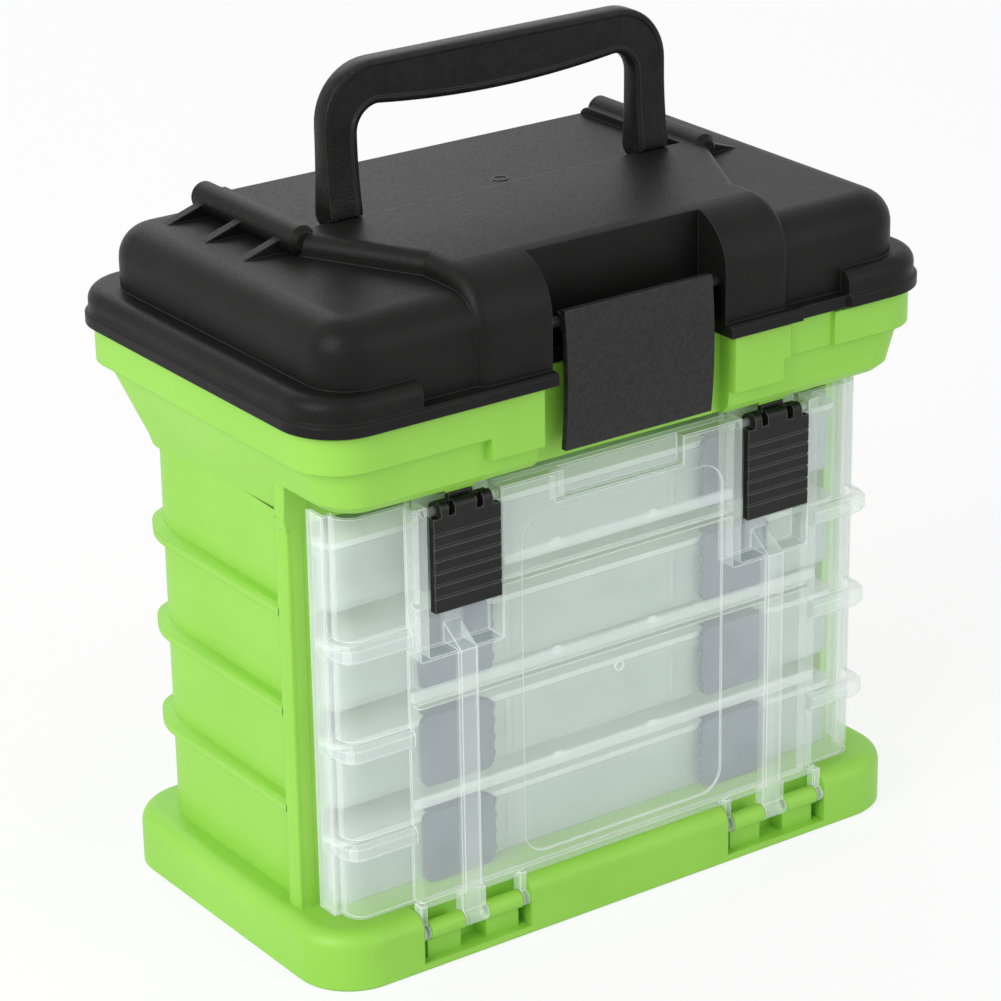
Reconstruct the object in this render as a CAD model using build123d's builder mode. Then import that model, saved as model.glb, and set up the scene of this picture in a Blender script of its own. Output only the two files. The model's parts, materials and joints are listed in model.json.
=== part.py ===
from build123d import *
from math import cos, radians, sin
import os

# Tackle box with four pull-out trays: a moulded case with a top bin, a hinged lid
# with a folding handle and a front latch, and a clear drop-down door held by two latches.
# Millimetres, +Z up, -Y is the front, origin under the middle of the lid.

# Overall sizes
lid_length = 267.0
lid_depth = 166.8
lid_corner = 22.0
base_length = 258.5
base_front_inset = 9.2
base_back_inset = 12.7
base_corner = 22.0
base_height = 22.0
base_edge = 6.0
wall = 2.6

# Heights of the stack
floor_rise = 0.2
tray_count = 4
tray_pitch = 37.4
ceiling_gap = 5.8
bin_floor = 2.4
bin_depth = 41.1

# Lower case
case_length = 245.0
case_setback = 30.2
case_back_inset = 12.2
case_back_corner = 21.0
case_post_edge = 4.0
post_width = 6.5
post_depth = 5.0
side_rib_height = 10.5
side_rib_reach = 4.5
side_rib_setback = 8.0
side_rib_rise = 0.5
side_rib_taper = 2.5
ledge_width = 12.0
ledge_height = 3.0
ledge_setback = 3.0
foot_chamfer = 1.0

# Top bin of the case
bin_neck_length = 254.4
bin_neck_front_inset = 5.8
bin_neck_back_inset = 6.4
bin_neck_height = 14.0
bin_foot_front_inset = 8.9
bin_foot_back_inset = 21.4
bin_corner = 17.0
bin_foot_corner = 15.0
soffit_rise = 10.0
soffit_edge = 3.0
band_inset = 3.0
band_height = 12.7
rim_inset = 4.2
rim_height = 3.0
bin_recess_length = 82.0
bin_recess_depth = 6.0
catch_length = 40.0
catch_height = 2.6
catch_reach = 2.2
catch_drop = 20.5
lug_block_length = 22.0
lug_block_drop = 8.0
band_gap_start = 66.0
band_gap_end = 86.0
band_gap_depth = 1.5

# Lid
bead_height = 4.5
bead_overhang = 1.3
bead_edge = 1.0
rim_side_gap = 0.5
bead_gap_start = 69.0
bead_gap_depth = 1.5
tier_height = 13.0
tier_edge = 5.0
tier_gap_end = 91.0
dome_side_inset = 9.7
dome_front_inset = 5.1
dome_back_inset = 10.1
dome_height = 35.5
dome_corner = 16.0
dome_edge = 12.0
lid_wall = 2.5
hollow_bevel = 0.6
rest_lip_height = 2.0
rest_lip_reach = 4.0
lid_seat_gap = 0.3
platform_height = 43.0
platform_half = 88.0
platform_back_inset = 10.0
platform_shoulder = -6.0
strip_half = 67.0
strip_shoulder = -48.0
strip_front_inset = 2.4
platform_edge = 5.0
strip_edge = 20.0
seat_drop = 3.0
seat_half = 79.5
bar_radius = 5.2
bar_rise = 2.9
gusset_count = 3
gusset_first = 4.0
gusset_pitch = 25.0
gusset_length = 20.0
gusset_thickness = 4.0
pocket_half = 37.0
pocket_depth = 15.5
bar_x = 87.0
bar_edge = 2.0
gusset_drop = 1.0

# Lid latch
latch_half = 31.4
latch_rise = 23.8
latch_height = 50.1
latch_front_inset = 4.4
latch_thickness = 2.6
latch_bow = 1.6
latch_pivot_drop = 4.6
latch_pin_radius = 2.0
latch_barrel_radius = 3.2
latch_pin_reach = 7.6
latch_foot_half = 15.0
latch_foot_height = 4.6
latch_foot_gap = 0.3
catch_gap = 0.3

# Lid hinges at the back
lid_hinge_inset = 4.4
lid_hinge_drop = 4.0
lid_hinge_x = 75.0
lid_hinge_length = 36.0
lid_knuckle_radius = 3.5
lid_pin_radius = 1.5
lid_knuckle_length = 14.0
lid_hinge_recess = 4.5
lid_arm_gap = 0.8
running_gap = 0.08
knuckle_gap = 0.4

# Handle
handle_half = 74.6
handle_leg = 17.4
handle_front = 0.6
handle_thickness = 9.4
handle_rise = 54.0
handle_corner = 21.0
handle_inner_corner = 9.0
grip_height = 16.0
grip_bow = 3.2
grip_recess = 0.8
grip_rim = 3.0
fork_slot = 7.4
fork_slot_height = 12.0
handle_lug = 6.6
handle_lug_radius = 4.2
handle_pin_radius = 2.0
handle_foot_gap = 0.5
handle_pin_inset = 0.3
handle_recess_low = 8.0
handle_seat_gap = 0.3
grip_edge = 1.2

# Clear door
door_side_inset = 6.5
door_gap = 0.5
door_top_gap = 5.9
door_wall = 2.0
door_case_gap = 2.5
door_flange_depth = 9.5
door_side_step = 3.0
door_side_reach = 8.5
door_side_corner = 7.0
door_panel_half = 88.6
door_panel_inset = 4.0
door_panel_depth = 8.7
door_panel_corner = 2.0
door_bottom_return = 2.0
door_lip_height = 7.0
door_lip_reach = 3.6
door_lip_drop = 9.6
door_lip_edge = 1.5
door_rib_rise = 2.1
door_rib_reach = 3.2
door_rib_height = 1.8
window_half = 44.0
window_low_margin = 7.0
window_high_margin = 14.0
window_corner = 9.0
window_step = 0.8
grip_half = 26.0
grip_drop = 10.5
grip_step = 4.0
arm_rib_width = 7.0
arm_rib_reach = 1.6
arm_ramp_height = 8.0

# Door hinge at the base
hinge_x = 67.8
hinge_inset = 3.4
hinge_drop = 7.8
barrel_radius = 3.4
barrel_web_drop = 1.4
barrel_web_sink = 1.0
barrel_length = 14.2
hinge_rod_radius = 1.9
hinge_knuckle_radius = 3.2
mid_knuckle_length = 10.0
end_knuckle_length = 2.6
hinge_side_gap = 0.4
notch_low = 3.4
notch_depth = 10.0

# Door latches
door_latch_width = 27.6
door_latch_rise = 0.6
door_latch_height = 39.4
door_latch_reach = 2.0
door_latch_thickness = 3.0
door_latch_side_gap = 1.5
door_latch_pocket_height = 55.5
door_latch_pocket_depth = 8.7
door_latch_pivot_inset = 3.0
door_latch_pivot_drop = 3.2
door_latch_rod_radius = 1.5
door_latch_eye_radius = 3.2
door_latch_tab_width = 10.0
door_latch_tab_rise = 5.2
door_latch_tab_thickness = 2.4
door_latch_edge = 2.8
door_latch_groove_first = 5.0
door_latch_groove_height = 0.9
lug_half = 6.0
lug_overhang = 0.8
lug_length = 8.0
door_latch_groove_count = 6
door_latch_groove_pitch = 4.6
door_latch_groove_depth = 0.5
door_latch_notch_width = 3.2
door_latch_notch_height = 5.0

# Trays
tray_side_gap = 3.5
tray_front_reach = 9.0
tray_back_gap = 4.9
tray_box_height = 23.7
tray_lid_height = 2.2
tray_corner = 6.0
tray_wall = 1.8
tray_foot_chamfer = 1.0
tray_rim_reach = 1.2
tray_rim_height = 3.0
tray_seat_gap = 0.2
tray_lid_gap = 0.2
tray_columns = 3
divider_thickness = 1.4
divider_slot_gap = 0.2
divider_top_gap = 1.0
slot_rib_reach = 2.0
slot_rib_width = 1.6
tray_latch_x = 62.0
tray_latch_width = 30.0
tray_latch_low = 0.4
tray_latch_thickness = 2.4
tray_latch_hook = 4.0
tray_latch_hook_height = 1.0
tray_latch_gap = 0.3
tray_latch_corner = 3.0

# Sizes that follow from the ones above
floor_level = base_height + floor_rise
tray_top = tray_seat_gap + tray_box_height + tray_lid_gap + tray_lid_height
ceiling_level = floor_level + (tray_count - 1) * tray_pitch + tray_top + ceiling_gap
bin_level = ceiling_level + bin_floor
rim_level = bin_level + bin_depth
lid_half = lid_length / 2
lid_half_depth = lid_depth / 2
tier_half = lid_half - bead_overhang
tier_half_depth = lid_half_depth - bead_overhang
tier_level = rim_level + tier_height
dome_level = rim_level + dome_height
platform_level = rim_level + platform_height
seat_level = platform_level - seat_drop
case_half = case_length / 2
base_half = base_length / 2
base_front = base_front_inset - lid_half_depth
base_back = lid_half_depth - base_back_inset
case_front = base_front + case_setback
case_back = base_back - case_back_inset
side_rib_front = case_front + side_rib_setback
ledge_front = case_front + ledge_setback
bin_neck_front = bin_neck_front_inset - lid_half_depth
bin_neck_back = lid_half_depth - bin_neck_back_inset
bin_foot_front = bin_foot_front_inset - lid_half_depth
bin_foot_back = lid_half_depth - bin_foot_back_inset
neck_level = rim_level - bin_neck_height
soffit_level = bin_level + soffit_rise
door_low = base_height + door_gap
door_high = soffit_level - door_top_gap
door_half = case_half - door_side_inset
door_side_half = door_half - door_side_step
door_flange_back = case_front - door_case_gap
door_flange_front = door_flange_back - door_flange_depth
door_side_front = door_flange_front - door_side_reach
door_panel_front = base_front + door_panel_inset
door_panel_back = door_panel_front + door_panel_depth
hinge_y = base_front + hinge_inset
hinge_z = base_height - hinge_drop
lid_hinge_y = lid_half_depth - lid_hinge_inset
lid_hinge_z = rim_level - lid_hinge_drop
band_half = lid_half - band_inset
band_half_depth = lid_half_depth - band_inset
rim_half = lid_half - rim_inset
rim_half_depth = lid_half_depth - rim_inset
handle_pivot_y = handle_front + handle_thickness / 2
handle_pivot_z = seat_level + handle_thickness / 2 + handle_foot_gap
handle_x = handle_half - handle_leg / 2
handle_top = platform_level + handle_rise
latch_front = latch_front_inset - lid_half_depth
latch_top = rim_level + latch_rise
latch_bottom = latch_top - latch_height
latch_pivot_z = latch_top - latch_pivot_drop
latch_pivot_y = latch_front + latch_thickness + latch_pin_radius
recess_half = bin_recess_length / 2
recess_front = -band_half_depth + bin_recess_depth + band_inset
hinge_recess_half = lid_hinge_length / 2 + knuckle_gap
hinge_recess_front = lid_hinge_y - lid_hinge_recess
latch_pocket_half = door_latch_width / 2 + door_latch_side_gap
door_latch_top = door_high + door_latch_rise
door_latch_bottom = door_latch_top - door_latch_height
door_latch_front = door_panel_front - door_latch_reach
door_latch_pocket_low = door_high - door_latch_pocket_height
door_latch_pocket_back = door_panel_front + door_latch_pocket_depth
door_latch_pivot_y = door_panel_front + door_latch_pivot_inset
door_latch_pivot_z = door_high - door_latch_pivot_drop
lug_level = door_latch_pivot_z + door_latch_tab_rise + catch_gap
lug_front = door_latch_pivot_y - lug_overhang
lug_back = lug_front + lug_length
tray_mouth_half = case_half - post_width
tray_half = tray_mouth_half - tray_side_gap
tray_front = case_front - tray_front_reach
tray_back = case_back - wall - tray_back_gap
sides = (-1, 1)


def block(x_low, x_high, y_low, y_high, z_low, z_high, corner=0.0, edge=0.0, bevel=0.0):
    """A box between two corners, with its upright edges rounded and its top edge rounded or bevelled."""
    with BuildPart() as piece:
        with BuildSketch(Plane.XY.offset(z_low)):
            with Locations(((x_low + x_high) / 2, (y_low + y_high) / 2)):
                if corner > 0:
                    RectangleRounded(x_high - x_low, y_high - y_low, corner)
                else:
                    Rectangle(x_high - x_low, y_high - y_low)
        extrude(amount=z_high - z_low)
        if edge > 0:
            fillet(piece.faces().sort_by(Axis.Z)[-1].edges(), radius=edge)
        if bevel > 0:
            chamfer(piece.faces().sort_by(Axis.Z)[-1].edges(), length=bevel)
    return piece.part


def pair(x, half, y_low, y_high, z_low, z_high):
    """Two equal blocks, one at each side of the middle."""
    with BuildPart() as piece:
        for side in sides:
            add(block(side * x - half, side * x + half, y_low, y_high, z_low, z_high))
    return piece.part


def bar(x, y_low, y_high, z, radius, edge):
    """A round bar along Y with bevelled ends."""
    with BuildPart() as piece:
        with BuildSketch(Plane.XZ.offset(-y_high)):
            with Locations((x, z)):
                Circle(radius)
        extrude(amount=y_high - y_low)
        chamfer(piece.edges().filter_by(GeomType.CIRCLE), length=edge)
    return piece.part


def upright(points, x_low, x_high):
    """A flat-sided piece with its outline, in Y and Z, seen from the side."""
    with BuildPart() as piece:
        with BuildSketch(Plane.YZ.offset(x_low)):
            with BuildLine():
                Polyline(*points, close=True)
            make_face()
        extrude(amount=x_high - x_low)
    return piece.part


def rod(x_low, x_high, y, z, radius):
    """A round bar along X."""
    with BuildPart() as piece:
        with BuildSketch(Plane.YZ.offset(x_low)):
            with Locations((y, z)):
                Circle(radius)
        extrude(amount=x_high - x_low)
    return piece.part


def bin_body(inset):
    """The flared top bin, from its floor up to the neck under the rim band."""
    foot_depth = bin_foot_back - bin_foot_front - 2 * inset
    neck_depth = bin_neck_back - bin_neck_front - 2 * inset
    with BuildPart() as piece:
        with BuildSketch(Plane.XY.offset(bin_level + min(inset - wall, 0.0))):
            with Locations((0, (bin_foot_back + bin_foot_front) / 2)):
                RectangleRounded(case_length - 2 * inset, foot_depth, bin_foot_corner - inset)
        with BuildSketch(Plane.XY.offset(neck_level)):
            with Locations((0, (bin_neck_back + bin_neck_front) / 2)):
                RectangleRounded(bin_neck_length - 2 * inset, neck_depth, bin_corner - inset)
        loft()
    return piece.part


def case_plan(inset, z_low, z_high, back_corner, front_corner, front):
    """The lower case in plan, square at the front and round at the back corners."""
    with BuildPart() as piece:
        with BuildSketch(Plane.XY.offset(z_low)) as plan:
            with Locations((0, (front + case_back - inset) / 2)):
                Rectangle(case_length - 2 * inset, case_back - inset - front)
            fillet(plan.vertices().group_by(Axis.Y)[-1], radius=back_corner)
            if front_corner > 0:
                fillet(plan.vertices().group_by(Axis.Y)[0], radius=front_corner)
        extrude(amount=z_high - z_low)
    return piece.part


os.makedirs("parts", exist_ok=True)

# Side and back ribs, each a rounded belt round the lower case
rib_levels = [floor_level + tray_pitch * step + side_rib_rise for step in range(1, tray_count)]
with BuildPart() as side_ribs:
    for level in rib_levels:
        with BuildSketch(Plane.XY.offset(level - side_rib_height / 2)) as belt:
            with Locations((0, (side_rib_front + case_back + side_rib_reach) / 2)):
                Rectangle(case_length + 2 * side_rib_reach, case_back + side_rib_reach - side_rib_front)
            fillet(belt.vertices().group_by(Axis.Y)[-1], radius=case_back_corner + side_rib_reach)
        extrude(amount=side_rib_height)
    chamfer(side_ribs.edges().filter_by(Plane.XY), length=side_rib_taper)

# Hollow of the top bin, kept clear of the latch recess and the hinge recesses
with BuildPart() as bin_hollow:
    add(bin_body(wall))
    add(block(-band_half + wall, band_half - wall, -band_half_depth + wall, band_half_depth - wall,
              neck_level, rim_level + rim_height + wall, bin_corner))
    add(block(-case_half, case_half, -lid_half_depth, case_front + wall,
              bin_level - wall, soffit_level + bin_floor), mode=Mode.SUBTRACT)
    add(block(-recess_half - wall, recess_half + wall, -lid_half_depth, recess_front + wall,
              bin_level, rim_level + rim_height + 2 * wall), mode=Mode.SUBTRACT)
    for side in sides:
        middle = side * lid_hinge_x
        around = hinge_recess_half + wall
        add(block(middle - around, middle + around, hinge_recess_front - wall, lid_half_depth,
                  bin_level, rim_level + rim_height + 2 * wall), mode=Mode.SUBTRACT)

# Case: base, walls with posts, belts, ledges for the trays and the top bin, in one moulding
with BuildPart() as case_body:
    add(block(-base_half, base_half, base_front, base_back, 0, base_height, base_corner))
    fillet(case_body.faces().sort_by(Axis.Z)[-1].edges(), radius=base_edge)
    chamfer(case_body.faces().sort_by(Axis.Z)[0].edges(), length=foot_chamfer)
    add(case_plan(0, base_height - wall, bin_level, case_back_corner, case_post_edge, case_front))
    add(side_ribs.part)
    add(bin_body(0))
    add(block(-lid_half, lid_half, -lid_half_depth, case_front, bin_level - wall, soffit_level),
        mode=Mode.SUBTRACT)
    soffit = case_body.faces().filter_by(Axis.Z).group_by(Axis.Z)[-2]
    chamfer(soffit.edges().group_by(Axis.Y)[0], length=soffit_edge)
    for side in sides:
        add(block(side * hinge_x - lug_half, side * hinge_x + lug_half, lug_front, lug_back,
                  lug_level, soffit_level + wall))
    add(block(-band_half, band_half, -band_half_depth, band_half_depth,
              neck_level, neck_level + band_height, lid_corner - band_inset))
    add(block(-rim_half, rim_half, -rim_half_depth, rim_half_depth,
              neck_level + band_height, rim_level + rim_height, lid_corner - rim_inset))
    # blocks either side of the latch recess
    for side in sides:
        inner = side * recess_half
        outer = side * (recess_half + lug_block_length)
        add(block(min(inner, outer), max(inner, outer), -band_half_depth, bin_neck_front + wall,
                  neck_level - lug_block_drop, neck_level + wall))
    add(block(band_gap_start, band_gap_end, -lid_half_depth, band_gap_depth - band_half_depth,
              neck_level - wall, neck_level + band_height), mode=Mode.SUBTRACT)
    add(block(-recess_half, recess_half, -lid_half_depth, recess_front,
              soffit_level - wall, rim_level + rim_height), mode=Mode.SUBTRACT)
    for side in sides:
        add(block(side * lid_hinge_x - hinge_recess_half, side * lid_hinge_x + hinge_recess_half,
                  hinge_recess_front, lid_half_depth,
                  neck_level, rim_level + rim_height), mode=Mode.SUBTRACT)
    add(bin_hollow.part, mode=Mode.SUBTRACT)
    # catch for the lid latch
    add(block(-catch_length / 2, catch_length / 2, recess_front - catch_reach, recess_front,
              rim_level - catch_drop, rim_level - catch_drop + catch_height))
    # space for the trays, narrower between the front posts
    add(case_plan(wall, floor_level, ceiling_level, case_back_corner - wall, 0, case_front + post_depth),
        mode=Mode.SUBTRACT)
    add(block(-tray_mouth_half, tray_mouth_half, case_front - wall, case_front + 2 * post_depth,
              floor_level, ceiling_level), mode=Mode.SUBTRACT)
    for step in range(1, tray_count):
        top = floor_level + step * tray_pitch
        for side in sides:
            inner = side * (case_half - wall - ledge_width)
            outer = side * (case_half - wall / 2)
            add(block(min(inner, outer), max(inner, outer), ledge_front, case_back - case_back_corner,
                      top - ledge_height, top))
    # hollow underside
    add(block(-case_half + 2 * wall, case_half - 2 * wall, base_front + base_edge + notch_depth,
              case_back - 2 * wall, -wall, floor_level - wall), mode=Mode.SUBTRACT)
    # hinge notches with barrels for the door
    for side in sides:
        notch_half = barrel_length + mid_knuckle_length / 2 + end_knuckle_length + 3 * hinge_side_gap
        add(block(side * hinge_x - notch_half, side * hinge_x + notch_half,
                  base_front - wall, base_front + notch_depth, notch_low, base_height + wall),
            mode=Mode.SUBTRACT)
        for end in sides:
            inner = side * hinge_x + end * (mid_knuckle_length / 2 + hinge_side_gap)
            outer = inner + end * barrel_length
            low = min(inner, outer)
            add(rod(low, low + barrel_length, hinge_y, hinge_z, barrel_radius))
            add(block(low, low + barrel_length, hinge_y, base_front + notch_depth + wall,
                      notch_low - barrel_web_sink, hinge_z - barrel_web_drop))
            add(rod(low, low + barrel_length, hinge_y, hinge_z, hinge_rod_radius + running_gap),
                mode=Mode.SUBTRACT)
    # knuckles for the lid hinge pins
    for side in sides:
        start = side * lid_hinge_x - lid_hinge_length / 2
        ear = (lid_hinge_length - lid_knuckle_length) / 2 - knuckle_gap
        for low in (start, start + lid_hinge_length - ear):
            add(rod(low, low + ear, lid_hinge_y, lid_hinge_z, lid_knuckle_radius))
            add(block(low, low + ear, hinge_recess_front - wall / 2, lid_hinge_y,
                      lid_hinge_z - lid_knuckle_radius, lid_hinge_z))
            add(rod(low - knuckle_gap, low + ear + knuckle_gap, lid_hinge_y, lid_hinge_z,
                    lid_pin_radius + running_gap), mode=Mode.SUBTRACT)
case_body.part.label = "case_body"
export_step(case_body.part, "parts/case_body.step")

# Pins of the lid hinges
with BuildPart() as lid_hinge_pins:
    for side in sides:
        start = side * lid_hinge_x - lid_hinge_length / 2
        add(rod(start, start + lid_hinge_length, lid_hinge_y, lid_hinge_z, lid_pin_radius))
lid_hinge_pins.part.label = "lid_hinge_pins"
export_step(lid_hinge_pins.part, "parts/lid_hinge_pins.step")


def platform(inset):
    """The raised middle of the lid, running down over its front as a strip."""
    front = strip_front_inset - tier_half_depth
    top = platform_level - inset
    corners = [(platform_half, platform_back), (platform_half, platform_shoulder),
               (strip_half, strip_shoulder), (strip_half, front)]
    mirrored = [(-x, y) for x, y in reversed(corners)]
    with BuildPart() as piece:
        with BuildSketch(Plane.XY.offset(rim_level + bead_height - inset)):
            with BuildLine():
                Polyline(*corners, *mirrored, close=True)
            make_face()
            if inset > 0:
                offset(amount=-inset, kind=Kind.INTERSECTION)
        extrude(amount=platform_height - bead_height)
        fillet(piece.edges().filter_by(Axis.Z).group_by(Axis.Y)[-1], radius=platform_edge)
        fillet(piece.faces().sort_by(Axis.Y)[0].edges().group_by(Axis.Z)[-1], radius=strip_edge - inset)
        if inset == 0:
            crown = piece.faces().filter_by(Plane.XY).sort_by(Axis.Z)[-1]
            roll = piece.faces().filter_by(GeomType.CYLINDER).sort_by(Axis.Y)[0]
            face = piece.faces().sort_by(Axis.Y)[0]
            shared = crown.edges().filter_by(Axis.X, reverse=True)
            arcs = roll.edges().filter_by(GeomType.CIRCLE)
            fillet(shared + arcs + crown.edges().sort_by(Axis.Y)[-1:] + face.edges().filter_by(Axis.Z),
                   radius=platform_edge)
    return piece.part


def lid_form(inset):
    """The stepped outer form of the lid, or with an inset the hollow under it, bevelled at its edges."""
    low = rim_level + bead_height - inset
    if inset > 0:
        tier_round, dome_round = 0, 0
        tier_bevel, dome_bevel = hollow_bevel * (tier_edge - inset), hollow_bevel * (dome_edge - inset)
    else:
        tier_round, dome_round = tier_edge, dome_edge
        tier_bevel, dome_bevel = 0, 0
    with BuildPart() as piece:
        add(block(inset - tier_half, tier_half - inset, inset - tier_half_depth, tier_half_depth - inset,
                  low, tier_level - inset, tier_corner - inset, tier_round, tier_bevel))
        add(block(-tier_gap_end - inset, tier_gap_end + inset, -lid_half_depth, dome_front + inset,
                  low, tier_level), mode=Mode.SUBTRACT)
        add(block(inset - dome_half, dome_half - inset, dome_front + inset, dome_back - inset,
                  low, dome_level - inset, dome_corner - inset, dome_round, dome_bevel))
        add(platform(inset))
    return piece.part


# Hollow of the lid: room for the case's rim, a lip to rest on it and the dome above
tier_corner = lid_corner - bead_overhang
dome_half = tier_half - dome_side_inset
dome_front = dome_front_inset - tier_half_depth
dome_back = tier_half_depth - dome_back_inset
platform_back = dome_back - platform_back_inset
pocket_back = strip_front_inset - tier_half_depth + pocket_depth
seat_front = handle_front - handle_seat_gap
lip_level = rim_level + rim_height + lid_seat_gap
rim_room = rim_half + rim_side_gap
rim_room_depth = rim_half_depth + rim_side_gap
lip_half = rim_room - rest_lip_reach
lip_half_depth = rim_room_depth - rest_lip_reach
with BuildPart() as lid_hollow:
    add(lid_form(lid_wall))
    add(block(-rim_room, rim_room, -rim_room_depth, rim_room_depth, rim_level - wall, lip_level,
              tier_corner - lid_wall))
    add(block(-lip_half, lip_half, -lip_half_depth, lip_half_depth, lip_level,
              lip_level + rest_lip_height, dome_corner - lid_wall))
    add(block(-seat_half - lid_wall, seat_half + lid_wall, seat_front - lid_wall, lid_half_depth,
              seat_level - lid_wall, platform_level), mode=Mode.SUBTRACT)
    add(block(-pocket_half - lid_wall, pocket_half + lid_wall, -lid_half_depth, pocket_back + lid_wall,
              rim_level - wall, platform_level), mode=Mode.SUBTRACT)

# Lid: bead, tier, dome, platform with its bars and gussets, seat for the handle, latch pocket
with BuildPart() as lid:
    add(block(-lid_half, lid_half, -lid_half_depth, lid_half_depth,
              rim_level, rim_level + bead_height, lid_corner, bevel=bead_edge))
    add(lid_form(0))
    add(lid_hollow.part, mode=Mode.SUBTRACT)
    for side in sides:
        add(bar(side * bar_x, platform_shoulder, platform_back, platform_level + bar_rise - bar_radius,
                bar_radius, bar_edge))
    add(block(-seat_half, seat_half, seat_front, lid_half_depth, seat_level, platform_level + bar_rise),
        mode=Mode.SUBTRACT)
    for step in range(gusset_count):
        middle = gusset_first + step * gusset_pitch
        for side in sides:
            with BuildSketch(Plane.XZ.offset(-middle)):
                with BuildLine():
                    Polyline((side * bar_x, platform_level - gusset_drop),
                             (side * (bar_x + gusset_length), dome_level),
                             (side * bar_x, dome_level - lid_wall / 2), close=True)
                make_face()
            extrude(amount=gusset_thickness / 2, both=True)
    add(block(-pocket_half, pocket_half, -lid_half_depth, pocket_back,
              rim_level, platform_level), mode=Mode.SUBTRACT)
    # shelf that closes the pocket over the case's recess, with slots for the recess wall
    add(block(-pocket_half - lid_wall, pocket_half + lid_wall, recess_front, pocket_back + lid_wall,
              lip_level, lip_level + rest_lip_height))
    add(block(-recess_half, recess_half, recess_front - rim_side_gap, recess_front + wall + rim_side_gap,
              rim_level, lip_level), mode=Mode.SUBTRACT)
    add(rod(-pocket_half - lid_wall - rim_side_gap, pocket_half + lid_wall + rim_side_gap,
            latch_pivot_y, latch_pivot_z, latch_pin_radius + running_gap), mode=Mode.SUBTRACT)
    # front bead left out beside the latch, as on the case's band
    add(block(bead_gap_start, tier_gap_end, -lid_half_depth, bead_gap_depth - lid_half_depth,
              rim_level, rim_level + bead_height), mode=Mode.SUBTRACT)
    for side in sides:
        # knuckle on the hinge pin, on an arm from the skirt
        low = side * lid_hinge_x - lid_knuckle_length / 2
        add(rod(low, low + lid_knuckle_length, lid_hinge_y, lid_hinge_z, lid_knuckle_radius))
        add(block(low, low + lid_knuckle_length, lid_hinge_y + lid_arm_gap,
                  lid_hinge_y + lid_knuckle_radius, lid_hinge_z, rim_level + bead_height - bead_edge))
        add(rod(low - knuckle_gap, low + lid_knuckle_length + knuckle_gap, lid_hinge_y, lid_hinge_z,
                lid_pin_radius + running_gap), mode=Mode.SUBTRACT)
        # upright lug that the handle turns on
        low = side * handle_x - handle_lug / 2
        add(rod(low, low + handle_lug, handle_pivot_y, handle_pivot_z, handle_lug_radius))
        add(block(low, low + handle_lug, handle_pivot_y - handle_lug_radius,
                  handle_pivot_y + handle_lug_radius, seat_level - lid_wall / 2, handle_pivot_z))
        add(rod(low - knuckle_gap, low + handle_lug + knuckle_gap, handle_pivot_y, handle_pivot_z,
                handle_pin_radius + running_gap), mode=Mode.SUBTRACT)
lid.part.label = "lid"
export_step(lid.part, "parts/lid.step")

# Lid latch: a bowed plate on two pins, with a foot under the case's catch
with BuildPart() as lid_latch:
    with BuildSketch(Plane.YZ):
        with BuildLine():
            middle = (latch_top + latch_bottom) / 2
            ThreePointArc((latch_front, latch_bottom), (latch_front - latch_bow, middle),
                          (latch_front, latch_top))
            Line((latch_front, latch_top), (latch_front + latch_thickness, latch_top))
            ThreePointArc((latch_front + latch_thickness, latch_top),
                          (latch_front + latch_thickness - latch_bow, middle),
                          (latch_front + latch_thickness, latch_bottom))
            Line((latch_front + latch_thickness, latch_bottom), (latch_front, latch_bottom))
        make_face()
    extrude(amount=latch_half, both=True)
    add(rod(-latch_half, latch_half, latch_pivot_y, latch_pivot_z, latch_barrel_radius))
    add(rod(-latch_half - latch_pin_reach, latch_half + latch_pin_reach,
            latch_pivot_y, latch_pivot_z, latch_pin_radius))
    foot_top = rim_level - catch_drop - catch_gap
    foot_back = recess_front - catch_reach - latch_foot_gap
    plate_back = latch_front + latch_thickness / 2
    add(upright([(plate_back, foot_top), (foot_back, foot_top),
                 (foot_back, foot_top - latch_foot_height / 2), (plate_back, foot_top - latch_foot_height)],
                -latch_foot_half, latch_foot_half))
lid_latch.part.label = "lid_latch"
export_step(lid_latch.part, "parts/lid_latch.step")

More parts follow.
